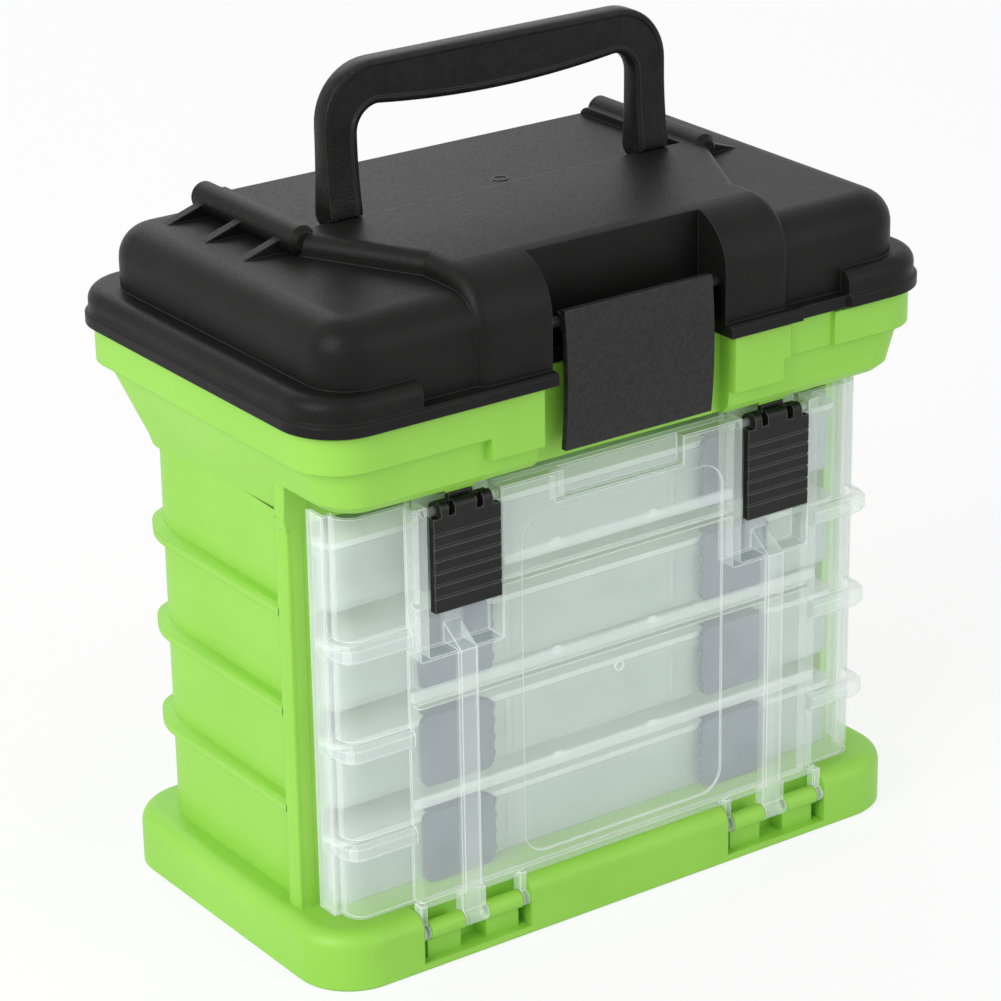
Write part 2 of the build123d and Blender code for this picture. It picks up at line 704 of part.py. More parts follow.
# Handle: a bow with a raised rim on both faces and a fork at each foot
handle_back = handle_front + handle_thickness
handle_inner = handle_half - handle_leg
grip_low = handle_top - grip_height
foot_radius = handle_thickness / 2
with BuildPart() as handle:
    with BuildSketch(Plane.XZ.offset(-handle_back)) as bow:
        with Locations((0, (handle_top + handle_pivot_z) / 2)):
            Rectangle(2 * handle_half, handle_top - handle_pivot_z)
        fillet(bow.vertices().group_by(Axis.Y)[-1], radius=handle_corner)
        with BuildSketch(Plane.XZ.offset(-handle_back), mode=Mode.SUBTRACT) as opening:
            with BuildLine():
                Line((-handle_inner, grip_low), (-handle_inner, handle_pivot_z))
                Line((-handle_inner, handle_pivot_z), (handle_inner, handle_pivot_z))
                Line((handle_inner, handle_pivot_z), (handle_inner, grip_low))
                ThreePointArc((handle_inner, grip_low), (0, grip_low - grip_bow), (-handle_inner, grip_low))
            make_face()
            fillet(opening.vertices().group_by(Axis.Y)[-1], radius=handle_inner_corner)
    extrude(amount=handle_thickness)
    chamfer(handle.faces().filter_by(Axis.Y).edges().filter_by_position(
        Axis.Z, handle_pivot_z, handle_top, inclusive=(False, True)), length=grip_edge)
    for side in sides:
        inner = side * handle_inner
        outer = side * handle_half
        low = min(inner, outer)
        add(rod(low, low + handle_leg, handle_pivot_y, handle_pivot_z, foot_radius))
    # both faces lie below a raised rim
    for recess_low in (handle_front, handle_back - grip_recess):
        with BuildSketch(Plane.XZ.offset(-recess_low - grip_recess)):
            add(bow.sketch_local)
            offset(amount=-grip_rim, kind=Kind.INTERSECTION)
            with Locations((0, handle_pivot_z)):
                Rectangle(2 * handle_half, 2 * handle_recess_low, mode=Mode.SUBTRACT)
        extrude(amount=grip_recess, mode=Mode.SUBTRACT)
    for side in sides:
        middle = side * handle_x
        add(block(middle - fork_slot / 2, middle + fork_slot / 2, handle_front, handle_back,
                  handle_pivot_z - foot_radius, handle_pivot_z - foot_radius + fork_slot_height),
            mode=Mode.SUBTRACT)
        add(rod(middle - handle_leg / 2, middle + handle_leg / 2, handle_pivot_y, handle_pivot_z,
                handle_pin_radius + running_gap), mode=Mode.SUBTRACT)
handle.part.label = "handle"
export_step(handle.part, "parts/handle.step")

# Pins of the handle
with BuildPart() as handle_pins:
    for side in sides:
        reach = handle_leg / 2 - handle_pin_inset
        add(rod(side * handle_x - reach, side * handle_x + reach, handle_pivot_y, handle_pivot_z,
                handle_pin_radius))
handle_pins.part.label = "handle_pins"
export_step(handle_pins.part, "parts/handle_pins.step")


def door_form(inset, low, high, panel_high):
    """The stepped front of the door, or with an inset the hollow behind it."""
    with BuildPart() as piece:
        add(block(inset - door_half, door_half - inset, door_flange_front + inset, door_flange_back,
                  low, high))
        add(block(inset - door_side_half, door_side_half - inset, door_side_front + inset,
                  door_flange_back, low, high, door_side_corner - inset))
        add(block(inset - door_panel_half, door_panel_half - inset, door_panel_front + inset,
                  door_panel_back + 2 * door_panel_corner, low, panel_high, door_panel_corner))
    return piece.part


def door_lip(side, level):
    """A lip round one side section of the door, at the gap between two trays."""
    inner = side * (door_panel_half - door_side_corner)
    outer = side * (door_side_half + door_lip_reach)
    with BuildPart() as piece:
        add(block(min(inner, outer), max(inner, outer), door_side_front - door_lip_reach,
                  door_flange_front + door_side_corner,
                  level - door_lip_height / 2, level + door_lip_height / 2, door_side_corner))
        chamfer(piece.faces().filter_by(Axis.Z).edges(), length=door_lip_edge)
    return piece.part


# Hollow of the door, kept clear of its latch pockets and its finger recess
grip_low_level = door_high - grip_drop
with BuildPart() as door_hollow:
    add(door_form(door_wall, door_low + door_wall, door_high + door_wall, door_high - door_wall))
    for side in sides:
        middle = side * hinge_x
        around = latch_pocket_half + door_wall
        add(block(middle - around, middle + around, door_panel_front, door_latch_pocket_back + door_wall,
                  door_latch_pocket_low - door_wall, door_high + door_wall), mode=Mode.SUBTRACT)
    add(block(-grip_half - door_wall, grip_half + door_wall, door_panel_front,
              door_panel_front + grip_step + door_wall, grip_low_level - door_wall, door_high),
        mode=Mode.SUBTRACT)

# Clear door: flanges, side sections with lips, raised middle with pockets and hinge knuckles
with BuildPart() as door:
    add(door_form(0, door_low, door_high, door_high))
    for step in range(tray_count - 1):
        level = floor_level + (step + 1) * tray_pitch - door_lip_drop
        for side in sides:
            add(door_lip(side, level))
    add(door_hollow.part, mode=Mode.SUBTRACT)
    # the bottom is open, with a short return behind the raised middle
    add(door_form(door_wall, door_low - door_wall, door_low + 2 * door_wall, door_low + 2 * door_wall),
        mode=Mode.SUBTRACT)
    return_back = door_panel_front + door_wall + door_bottom_return
    add(block(door_wall - door_panel_half, door_panel_half - door_wall, door_panel_front + door_wall / 2,
              return_back, door_low, door_low + door_wall))
    # stiffening ribs inside, one for each gap between the trays
    for step in range(tray_count - 1):
        level = floor_level + (step + 1) * tray_pitch + door_rib_rise
        low = level - door_rib_height / 2
        high = level + door_rib_height / 2
        inner_face = door_panel_front + door_wall / 2
        add(block(-door_panel_half + door_wall / 2, door_panel_half - door_wall / 2, inner_face,
                  inner_face + door_wall / 2 + door_rib_reach, low, high))
    for side in sides:
        add(block(side * hinge_x - latch_pocket_half, side * hinge_x + latch_pocket_half,
                  door_panel_front - door_wall, door_latch_pocket_back,
                  door_latch_pocket_low, door_high + door_wall), mode=Mode.SUBTRACT)
    add(block(-grip_half, grip_half, door_panel_front - door_wall, door_panel_front + grip_step,
              grip_low_level, door_high + door_wall), mode=Mode.SUBTRACT)
    window_low = door_low + window_low_margin
    window_high = door_high - window_high_margin
    with BuildSketch(Plane.XZ.offset(-door_panel_front - window_step)):
        with Locations((0, (window_low + window_high) / 2)):
            RectangleRounded(2 * window_half, window_high - window_low, window_corner)
    extrude(amount=2 * window_step, mode=Mode.SUBTRACT)
    for side in sides:
        middle = side * hinge_x
        # rod that the latch turns on
        add(rod(middle - latch_pocket_half - door_wall / 2, middle + latch_pocket_half + door_wall / 2,
                door_latch_pivot_y, door_latch_pivot_z, door_latch_rod_radius))
        # arm rib up the front, ending as a ramp inside the pocket
        rib_front = door_panel_front - arm_rib_reach
        add(upright([(rib_front, door_low), (rib_front, door_latch_pocket_low),
                     (door_latch_pocket_back + door_wall / 2, door_latch_pocket_low + arm_ramp_height),
                     (door_latch_pocket_back + door_wall / 2, door_latch_pocket_low),
                     (door_panel_front + door_wall / 2, door_latch_pocket_low - door_wall),
                     (door_panel_front + door_wall / 2, door_low)],
                    middle - arm_rib_width / 2, middle + arm_rib_width / 2))
        # hinge rod and its knuckles
        reach = mid_knuckle_length / 2 + 2 * hinge_side_gap + barrel_length + end_knuckle_length
        add(rod(middle - reach, middle + reach, hinge_y, hinge_z, hinge_rod_radius))
        starts = [(middle - mid_knuckle_length / 2, mid_knuckle_length),
                  (middle - reach, end_knuckle_length),
                  (middle + reach - end_knuckle_length, end_knuckle_length)]
        for low, length in starts:
            add(rod(low, low + length, hinge_y, hinge_z, hinge_knuckle_radius))
            add(block(low, low + length, door_panel_front - arm_rib_reach, hinge_y + hinge_knuckle_radius,
                      hinge_z, door_low + door_wall))
door.part.label = "door"
export_step(door.part, "parts/door.step")

# Door latches: a grooved plate round the door's rod, with a tab under the case's lug
for name, side in (("door_latch_left", -1), ("door_latch_right", 1)):
    middle = side * hinge_x
    half = door_latch_width / 2
    eye_half = half - door_latch_notch_width
    with BuildPart() as door_latch:
        add(block(middle - half, middle + half, door_latch_front, door_latch_front + door_latch_thickness,
                  door_latch_bottom, door_latch_top))
        fillet(door_latch.faces().sort_by(Axis.Y)[0].edges().group_by(Axis.Z)[-1], radius=door_latch_edge)
        for end in sides:
            inner = middle + end * eye_half
            outer = middle + end * (half + door_latch_notch_width)
            add(block(min(inner, outer), max(inner, outer), door_latch_front - door_latch_thickness,
                      door_latch_front + 2 * door_latch_thickness,
                      door_latch_top - door_latch_notch_height, door_latch_top + door_latch_thickness),
                mode=Mode.SUBTRACT)
        for step in range(door_latch_groove_count):
            low = door_latch_bottom + door_latch_groove_first + step * door_latch_groove_pitch
            add(block(middle - half, middle + half, door_latch_front - door_latch_groove_depth,
                      door_latch_front + door_latch_groove_depth, low, low + door_latch_groove_height),
                mode=Mode.SUBTRACT)
        add(rod(middle - eye_half, middle + eye_half, door_latch_pivot_y, door_latch_pivot_z,
                door_latch_eye_radius))
        add(block(middle - door_latch_tab_width / 2, middle + door_latch_tab_width / 2,
                  door_latch_pivot_y - door_latch_tab_thickness / 2,
                  door_latch_pivot_y + door_latch_tab_thickness / 2,
                  door_latch_pivot_z, door_latch_pivot_z + door_latch_tab_rise))
        add(rod(middle - half, middle + half, door_latch_pivot_y, door_latch_pivot_z,
                door_latch_rod_radius + running_gap), mode=Mode.SUBTRACT)
    door_latch.part.label = name
    export_step(door_latch.part, f"parts/{name}.step")

# Trays, from the lowest up: box, lid, two latches and four loose dividers each
tray_body_half = tray_half - tray_rim_reach
row_middle = (tray_front + tray_back) / 2
column = 2 * (tray_body_half - tray_wall) / tray_columns
inner_front = tray_front + tray_rim_reach + tray_wall
inner_back = tray_back - tray_rim_reach - tray_wall
divider_lines = [column * (step - tray_columns / 2) for step in range(1, tray_columns)]
bays = [(inner_front, row_middle - tray_wall / 2), (row_middle + tray_wall / 2, inner_back)]
for number in range(1, tray_count + 1):
    base = floor_level + (number - 1) * tray_pitch + tray_seat_gap
    box_top = base + tray_box_height
    lid_low = box_top + tray_lid_gap
    lid_high = lid_low + tray_lid_height
    divider_top = box_top - divider_top_gap

    with BuildPart() as tray:
        add(block(-tray_body_half, tray_body_half, tray_front + tray_rim_reach, tray_back - tray_rim_reach,
                  base, box_top, tray_corner - tray_rim_reach))
        chamfer(tray.faces().sort_by(Axis.Z)[0].edges(), length=tray_foot_chamfer)
        add(block(-tray_half, tray_half, tray_front, tray_back,
                  box_top - tray_rim_height, box_top, tray_corner))
        add(block(tray_wall - tray_body_half, tray_body_half - tray_wall, inner_front, inner_back,
                  base + tray_wall, box_top + tray_wall, tray_corner - tray_rim_reach - tray_wall),
            mode=Mode.SUBTRACT)
        add(block(-tray_body_half + tray_wall / 2, tray_body_half - tray_wall / 2,
                  row_middle - tray_wall / 2, row_middle + tray_wall / 2, base + tray_wall / 2, divider_top))
        # pairs of ribs that hold a divider between them
        rib_offset = divider_thickness / 2 + divider_slot_gap + slot_rib_width / 2
        for line in divider_lines:
            for low, high in bays:
                for rib_x in (line - rib_offset, line + rib_offset):
                    left = rib_x - slot_rib_width / 2
                    add(block(left, left + slot_rib_width, low - tray_wall / 2, low + slot_rib_reach,
                              base + tray_wall / 2, divider_top))
                    add(block(left, left + slot_rib_width, high - slot_rib_reach, high + tray_wall / 2,
                              base + tray_wall / 2, divider_top))
    tray.part.label = f"tray_{number}"
    export_step(tray.part, f"parts/tray_{number}.step")

    with BuildPart() as tray_lid:
        add(block(-tray_half, tray_half, tray_front, tray_back, lid_low, lid_high, tray_corner))
    tray_lid.part.label = f"tray_{number}_lid"
    export_step(tray_lid.part, f"parts/tray_{number}_lid.step")

    with BuildPart() as tray_latches:
        latch_back = tray_front - tray_latch_gap
        latch_face = latch_back - tray_latch_thickness
        latch_low = base + tray_latch_low
        latch_high = lid_high + tray_latch_gap + tray_latch_hook_height
        with BuildSketch(Plane.XZ.offset(-latch_back)):
            for side in sides:
                with Locations((side * tray_latch_x, (latch_low + latch_high) / 2)):
                    RectangleRounded(tray_latch_width, latch_high - latch_low, tray_latch_corner)
        extrude(amount=tray_latch_thickness)
        hook_half = tray_latch_width / 2 - tray_latch_corner
        add(pair(tray_latch_x, hook_half, latch_face + tray_latch_thickness / 2,
                 tray_front + tray_latch_hook, latch_high - tray_latch_hook_height, latch_high))
        add(pair(tray_latch_x, hook_half, latch_face + tray_latch_thickness / 2,
                 tray_front + tray_rim_reach - tray_latch_gap,
                 box_top - tray_rim_height - tray_latch_gap - tray_latch_hook_height,
                 box_top - tray_rim_height - tray_latch_gap))
    tray_latches.part.label = f"tray_{number}_latches"
    export_step(tray_latches.part, f"parts/tray_{number}_latches.step")

    with BuildPart() as tray_dividers:
        for line in divider_lines:
            for low, high in bays:
                add(block(line - divider_thickness / 2, line + divider_thickness / 2,
                          low + divider_slot_gap, high - divider_slot_gap,
                          base + tray_wall + divider_slot_gap, divider_top))
    tray_dividers.part.label = f"tray_{number}_dividers"
    export_step(tray_dividers.part, f"parts/tray_{number}_dividers.step")
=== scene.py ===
import json
import math

import bmesh
import bpy
from mathutils import Matrix, Vector
from mathutils.geometry import normal


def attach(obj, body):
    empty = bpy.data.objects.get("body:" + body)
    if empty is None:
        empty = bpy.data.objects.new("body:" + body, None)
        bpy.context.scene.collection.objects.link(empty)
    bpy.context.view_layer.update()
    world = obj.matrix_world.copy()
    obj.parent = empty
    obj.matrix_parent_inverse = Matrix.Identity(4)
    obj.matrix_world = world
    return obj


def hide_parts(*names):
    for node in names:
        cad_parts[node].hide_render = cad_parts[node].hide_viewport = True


# four-tray tackle box: green case, black lid and handle, clear door and trays
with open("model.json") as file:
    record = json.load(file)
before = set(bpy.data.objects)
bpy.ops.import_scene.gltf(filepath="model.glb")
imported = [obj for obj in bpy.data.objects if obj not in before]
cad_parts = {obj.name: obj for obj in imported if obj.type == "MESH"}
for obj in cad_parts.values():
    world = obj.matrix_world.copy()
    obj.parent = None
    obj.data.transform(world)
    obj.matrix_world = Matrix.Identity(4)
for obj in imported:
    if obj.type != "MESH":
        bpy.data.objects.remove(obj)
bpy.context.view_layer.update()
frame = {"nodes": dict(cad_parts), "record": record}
nodes = frame["nodes"]
scene = bpy.context.scene
scene.view_settings.view_transform = "Standard"
clearWallsCrossed = 32  # a glance through the door crosses many clear walls
scene.cycles.transparent_max_bounces = clearWallsCrossed
print("frame loaded with", len(nodes), "nodes")


mottleRange = (0.35, 0.65)  # part of a noise's values that carries the change
edgeRange = (0.80, 0.995)  # how far a rounded normal leaves the face on an edge and beside it


# small helpers for shader trees
def startMaterial(name):
    material = bpy.data.materials.new(name)
    material.use_nodes = True
    tree = material.node_tree
    tree.nodes.clear()
    output = tree.nodes.new("ShaderNodeOutputMaterial")
    shader = tree.nodes.new("ShaderNodeBsdfPrincipled")
    tree.links.new(shader.outputs["BSDF"], output.inputs["Surface"])
    return material, tree, shader


def addNode(tree, kind, settings=None, **inputs):
    node = tree.nodes.new(kind)
    for key, value in (settings or {}).items():
        setattr(node, key, value)
    for key, value in inputs.items():
        socket = node.inputs[key.replace("_", " ")]
        if isinstance(value, bpy.types.NodeSocket):
            tree.links.new(value, socket)
        else:
            socket.default_value = value
    return node


def objectPoints(tree, stretch=(1, 1, 1)):
    # points of the piece in metres, stretched where a grain runs one way
    coordinates = addNode(tree, "ShaderNodeTexCoord")
    mapping = addNode(tree, "ShaderNodeMapping", Vector=coordinates.outputs["Object"], Scale=stretch)
    return mapping.outputs["Vector"]


def noise(tree, points, size, detail=2.0, roughness=0.5):
    # size is the width of one grain in metres
    node = addNode(tree, "ShaderNodeTexNoise", Vector=points, Scale=1 / size, Detail=detail, Roughness=roughness)
    return node.outputs["Fac"]


def spread(tree, value, low, high, fromLow=0.0, fromHigh=1.0):
    node = addNode(tree, "ShaderNodeMapRange", Value=value)
    node.inputs["From Min"].default_value = fromLow
    node.inputs["From Max"].default_value = fromHigh
    node.inputs["To Min"].default_value = low
    node.inputs["To Max"].default_value = high
    return node.outputs["Result"]


def mathNode(tree, operation, first, second=0.0, clamp=False):
    node = tree.nodes.new("ShaderNodeMath")
    node.operation = operation
    node.use_clamp = clamp
    for socket, value in zip(node.inputs, (first, second)):
        if isinstance(value, bpy.types.NodeSocket):
            tree.links.new(value, socket)
        else:
            socket.default_value = value
    return node.outputs["Value"]


def mixColours(tree, factor, first, second):
    node = tree.nodes.new("ShaderNodeMix")
    node.data_type = "RGBA"
    tree.links.new(factor, node.inputs["Factor"])
    for name, value in (("A", first), ("B", second)):
        socket = next(s for s in node.inputs if s.name == name and s.type == "RGBA")
        if isinstance(value, bpy.types.NodeSocket):
            tree.links.new(value, socket)
        else:
            socket.default_value = (*value, 1)
    return next(s for s in node.outputs if s.type == "RGBA")


def mottled(tree, points, look, detail):
    # the slow change of a moulding's colour
    mottle = noise(tree, points, look["mottle"], detail=detail)
    return mixColours(tree, spread(tree, mottle, 0, 1, *mottleRange), look["colour"], look["paler"])


def softNormal(tree, height, depth, softEdge, samples):
    # bump of the given depth in metres over edges softened as a mould leaves them
    rounded = addNode(tree, "ShaderNodeBevel", {"samples": samples}, Radius=softEdge)
    bump = addNode(tree, "ShaderNodeBump", Height=height, Normal=rounded.outputs["Normal"], Distance=depth)
    return rounded, bump.outputs["Normal"]


def edgeMask(tree, rounded):
    # 1 along edges, where the rounded normal leaves the face's own
    surface = addNode(tree, "ShaderNodeNewGeometry")
    turn = addNode(tree, "ShaderNodeVectorMath", {"operation": "DOT_PRODUCT"})
    tree.links.new(rounded.outputs["Normal"], turn.inputs[0])
    tree.links.new(surface.outputs["Normal"], turn.inputs[1])
    return spread(tree, turn.outputs["Value"], 1, 0, *edgeRange)


# moulded green case
greenShell = {
    "colour": (0.258, 0.574, 0.054),
    "paler": (0.282, 0.604, 0.066),
    "mottle": 0.05,
    "grain": 0.0009,
    "grainDepth": 0.00003,
    "softEdge": 0.0007,
    "edgeSamples": 4,
    "roughLow": 0.42,
    "roughHigh": 0.52,
    "ior": 1.49,
}


def makeGreenShell():
    look = greenShell
    material, tree, shader = startMaterial("greenShell")
    points = objectPoints(tree)
    grain = noise(tree, points, look["grain"], detail=2)
    _, surface = softNormal(tree, grain, look["grainDepth"], look["softEdge"], look["edgeSamples"])
    tree.links.new(mottled(tree, points, look, detail=4), shader.inputs["Base Color"])
    tree.links.new(spread(tree, grain, look["roughLow"], look["roughHigh"]), shader.inputs["Roughness"])
    tree.links.new(surface, shader.inputs["Normal"])
    shader.inputs["IOR"].default_value = look["ior"]
    return material


# black lid, with a fine leather grain
blackShell = {
    "colour": (0.0062, 0.0062, 0.0060),
    "paler": (0.0088, 0.0088, 0.0085),
    "edgeHighlight": (0.030, 0.030, 0.0295),
    "gloss": 0.135,
    "mottle": 0.03,
    "grain": 0.0010,
    "grainDepth": 0.00006,
    "softEdge": 0.0006,
    "roughLow": 0.36,
    "roughHigh": 0.50,
}
# handle: glossy rims with a painted highlight on them, round a coarser, sparkling face
blackGrip = {
    "colour": (0.0062, 0.0062, 0.0060),
    "paler": (0.0110, 0.0110, 0.0107),
    "edgeHighlight": (0.055, 0.055, 0.054),
    "gloss": 0.15,
    "mottle": 0.004,
    "grain": 0.0008,
    "grainDepth": 0.00009,
    "softEdge": 0.0007,
    "roughLow": 0.24,
    "roughHigh": 0.42,
}
# lid latch, whose plate is eroded to a coarser grain
blackLatch = {
    "colour": (0.0060, 0.0060, 0.0060),
    "paler": (0.0150, 0.0150, 0.0148),
    "edgeHighlight": (0.030, 0.030, 0.030),
    "gloss": 0.30,
    "mottle": 0.0016,
    "grain": 0.00075,
    "grainDepth": 0.00012,
    "softEdge": 0.0006,
    "roughLow": 0.34,
    "roughHigh": 0.56,
}
# door latches, smoother than the rest, with a strong painted highlight along their edges and grooves
blackSmooth = {
    "colour": (0.0060, 0.0060, 0.0060),
    "paler": (0.0090, 0.0090, 0.0090),
    "edgeHighlight": (0.145, 0.145, 0.145),
    "gloss": 0.25,
    "mottle": 0.01,
    "grain": 0.0007,
    "grainDepth": 0.00002,
    "softEdge": 0.0005,
    "roughLow": 0.30,
    "roughHigh": 0.40,
}
# latches of the trays
greyLatch = {
    "colour": (0.075, 0.100, 0.145),
    "paler": (0.090, 0.118, 0.168),
    "edgeHighlight": (0.09, 0.10, 0.12),
    "gloss": 0.4,
    "mottle": 0.01,
    "grain": 0.0008,
    "grainDepth": 0.00003,
    "softEdge": 0.0005,
    "roughLow": 0.38,
    "roughHigh": 0.50,
}


# what all the grained plastics share: cells with a finer noise on them, and smoother edges painted paler as a
# highlight
grainMix = {"cellHeight": 0.8, "fineHeight": 0.4, "edgeSmoothing": 0.14, "edgeSamples": 6, "ior": 1.49}


def makeGrainedPlastic(name, look):
    material, tree, shader = startMaterial(name)
    points = objectPoints(tree)
    cells = addNode(tree, "ShaderNodeTexVoronoi", {"feature": "F1"}, Vector=points, Scale=1 / look["grain"])
    fine = noise(tree, points, look["grain"] / 2, detail=2)
    height = mathNode(tree, "ADD", mathNode(tree, "MULTIPLY", cells.outputs["Distance"], grainMix["cellHeight"]),
                      mathNode(tree, "MULTIPLY", fine, grainMix["fineHeight"]))
    rounded, surface = softNormal(tree, height, look["grainDepth"], look["softEdge"], grainMix["edgeSamples"])
    edge = edgeMask(tree, rounded)
    # edges painted paler than the face: a painted highlight along each rim
    edgeHighlighted = mixColours(tree, edge, mottled(tree, points, look, detail=3), look["edgeHighlight"])
    rough = mathNode(tree, "SUBTRACT", spread(tree, height, look["roughLow"], look["roughHigh"]),
                     mathNode(tree, "MULTIPLY", edge, grainMix["edgeSmoothing"]))
    tree.links.new(edgeHighlighted, shader.inputs["Base Color"])
    tree.links.new(rough, shader.inputs["Roughness"])
    tree.links.new(surface, shader.inputs["Normal"])
    shader.inputs["IOR"].default_value = grainMix["ior"]
    shader.inputs["Specular IOR Level"].default_value = look["gloss"]
    return material


# clear door: milky where thin, denser at its edges and thick places and where it is seen edge on, and painted whiter
# at its edges as a highlight
clearDoor = {
    "colour": (0.86, 0.93, 0.92),
    "edgeHighlight": (0.96, 0.985, 0.985),
    "edgeRadius": 0.0010,
    "edgeSamples": 8,
    "faceOpacity": 0.15,
    "edgeOpacity": 0.72,
    "slantOpacity": 0.24,
    "flangeX": 0.1128,
    "flangeOpacity": 0.12,
    "lipX": 0.0895,
    "lipY": -0.0652,
    "lipOpacity": 0.17,
    "ribLowX": 0.0630,
    "ribHighX": 0.0712,
    "ribTop": 0.1330,
    "ribOpacity": 0.11,
    "shadowShare": 0.15,
    "haze": 0.02,
    "roughLow": 0.10,
    "roughHigh": 0.20,
    "waveDepth": 0.00004,
}
# bars across the inside of the door
clearBar = {
    "colour": (0.84, 0.91, 0.90),
    "faceOpacity": 0.30,
    "slantOpacity": 0.20,
    "shadowShare": 0.15,
    "haze": 0.02,
    "roughLow": 0.12,
    "roughHigh": 0.22,
    "waveDepth": 0.00004,
}
# trays, milkier than the door
clearTray = {
    "colour": (0.49, 0.60, 0.565),
    "faceOpacity": 0.44,
    "slantOpacity": 0.20,
    "shadowShare": 0.04,
    "haze": 0.03,
    "roughLow": 0.14,
    "roughHigh": 0.26,
    "waveDepth": 0.00005,
}
# lids of the trays, also worn by the door's bumps and gate ring: paler and denser than the trays, so that their rims
# show as whiter bands, a painted highlight
clearLid = {
    "colour": (0.78, 0.86, 0.845),
    "faceOpacity": 0.56,
    "slantOpacity": 0.25,
    "shadowShare": 0.04,
    "haze": 0.02,
    "roughLow": 0.12,
    "roughHigh": 0.22,
    "waveDepth": 0.00004,
}
# what all the clear plastics share
clearMix = {"hazeOpacity": 0.10, "hazeShade": 0.94, "slantBlend": 0.35, "ior": 1.52}


def thickPlaces(tree, points, look):
    # opacity that the door's flanges, lips and ribs have above its panel's
    place = addNode(tree, "ShaderNodeSeparateXYZ", Vector=points)
    side = mathNode(tree, "ABSOLUTE", place.outputs["X"])
    flange = mathNode(tree, "GREATER_THAN", side, look["flangeX"])
    lip = mathNode(tree, "MULTIPLY", mathNode(tree, "GREATER_THAN", side, look["lipX"]),
                   mathNode(tree, "LESS_THAN", place.outputs["Y"], look["lipY"]))
    between = mathNode(tree, "MULTIPLY", mathNode(tree, "GREATER_THAN", side, look["ribLowX"]),
                       mathNode(tree, "LESS_THAN", side, look["ribHighX"]))
    rib = mathNode(tree, "MULTIPLY", between, mathNode(tree, "LESS_THAN", place.outputs["Z"], look["ribTop"]))
    thick = mathNode(tree, "ADD", mathNode(tree, "MULTIPLY", flange, look["flangeOpacity"]),
                     mathNode(tree, "MULTIPLY", lip, look["lipOpacity"]))
    return mathNode(tree, "ADD", thick, mathNode(tree, "MULTIPLY", rib, look["ribOpacity"]))


def makeClearPlastic(name, look):
    material, tree, shader = startMaterial(name)
    points = objectPoints(tree)
    haze = noise(tree, points, look["haze"], detail=2)
    slant = addNode(tree, "ShaderNodeLayerWeight", Blend=clearMix["slantBlend"])
    slanted = mathNode(tree, "MULTIPLY", slant.outputs["Facing"], look["slantOpacity"])
    face = mathNode(tree, "ADD", mathNode(tree, "MULTIPLY", haze, clearMix["hazeOpacity"]),
                    look["faceOpacity"] - clearMix["hazeOpacity"] / 2)
    opacity = mathNode(tree, "ADD", face, slanted, clamp=True)
    bump = addNode(tree, "ShaderNodeBump", Height=haze, Distance=look["waveDepth"])
    if "edgeOpacity" in look:
        rounded = addNode(tree, "ShaderNodeBevel", {"samples": look["edgeSamples"]}, Radius=look["edgeRadius"])
        edge = edgeMask(tree, rounded)
        denser = mathNode(tree, "MULTIPLY", edge, look["edgeOpacity"] - look["faceOpacity"])
        opacity = mathNode(tree, "ADD", opacity, denser, clamp=True)
        opacity = mathNode(tree, "ADD", opacity, thickPlaces(tree, points, look), clamp=True)
        # the door's edges are tinted whiter: a painted highlight of the light gathered in them
        tint = mixColours(tree, edge, look["colour"], look["edgeHighlight"])
        tree.links.new(rounded.outputs["Normal"], bump.inputs["Normal"])
    else:
        tint = mixColours(tree, haze, look["colour"], tuple(clearMix["hazeShade"] * v for v in look["colour"]))
    # milky walls scatter light on, so they cast weaker shadows than they look
    path = addNode(tree, "ShaderNodeLightPath")
    passing = mathNode(tree, "MAXIMUM", path.outputs["Is Shadow Ray"], path.outputs["Is Diffuse Ray"])
    passOn = mathNode(tree, "MULTIPLY", passing, 1 - look["shadowShare"])
    opacity = mathNode(tree, "MULTIPLY", opacity, mathNode(tree, "SUBTRACT", 1.0, passOn))
    tree.links.new(tint, shader.inputs["Base Color"])
    tree.links.new(opacity, shader.inputs["Alpha"])
    tree.links.new(bump.outputs["Normal"], shader.inputs["Normal"])
    tree.links.new(spread(tree, haze, look["roughLow"], look["roughHigh"]), shader.inputs["Roughness"])
    shader.inputs["IOR"].default_value = clearMix["ior"]
    return material


# wire pins
steelPin = {
    "colour": (0.58, 0.58, 0.60),
    "lineColour": (0.464, 0.464, 0.480),
    "lines": 0.0006,
    "stretch": (0.05, 1, 1),
    "roughLow": 0.22,
    "roughHigh": 0.38,
}


def makeSteelPin():
    look = steelPin
    material, tree, shader = startMaterial("steelPin")
    lines = noise(tree, objectPoints(tree, look["stretch"]), look["lines"], detail=3)
    tree.links.new(mixColours(tree, lines, look["colour"], look["lineColour"]), shader.inputs["Base Color"])
    tree.links.new(spread(tree, lines, look["roughLow"], look["roughHigh"]), shader.inputs["Roughness"])
    shader.inputs["Metallic"].default_value = 1.0
    return material


finishes = {
    "green_shell": makeGreenShell(),
    "black_shell": makeGrainedPlastic("blackShell", blackShell),
    "black_grip": makeGrainedPlastic("blackGrip", blackGrip),
    "black_latch": makeGrainedPlastic("blackLatch", blackLatch),
    "black_smooth": makeGrainedPlastic("blackSmooth", blackSmooth),
    "tray_latch": makeGrainedPlastic("greyLatch", greyLatch),
    "clear_door": makeClearPlastic("clearDoor", clearDoor),
    "clear_tray": makeClearPlastic("clearTray", clearTray),
    "clear_lid": makeClearPlastic("clearLid", clearLid),
    "clear_bar": makeClearPlastic("clearBar", clearBar),
    "steel_pin": makeSteelPin(),
}
print("materials made:", len(finishes))

# each CAD node gets the finish of its slot
slotOf = {row["node"]: row["material_slot"] for row in frame["record"]["subparts"]}
for name, node in nodes.items():
    finish = "clear_lid" if name.endswith("_lid") else slotOf[name]
    node.data.materials.clear()
    node.data.materials.append(finishes[finish])
print("finishes given to the nodes")


mergeDistance = 0.000005  # corners nearer than this are one
keysPerMetre = 20000  # fineness of the grid on which the corners of two meshes are matched
sameTurn = 0.8  # a corner's smooth normal is kept where it leaves its face no further than this


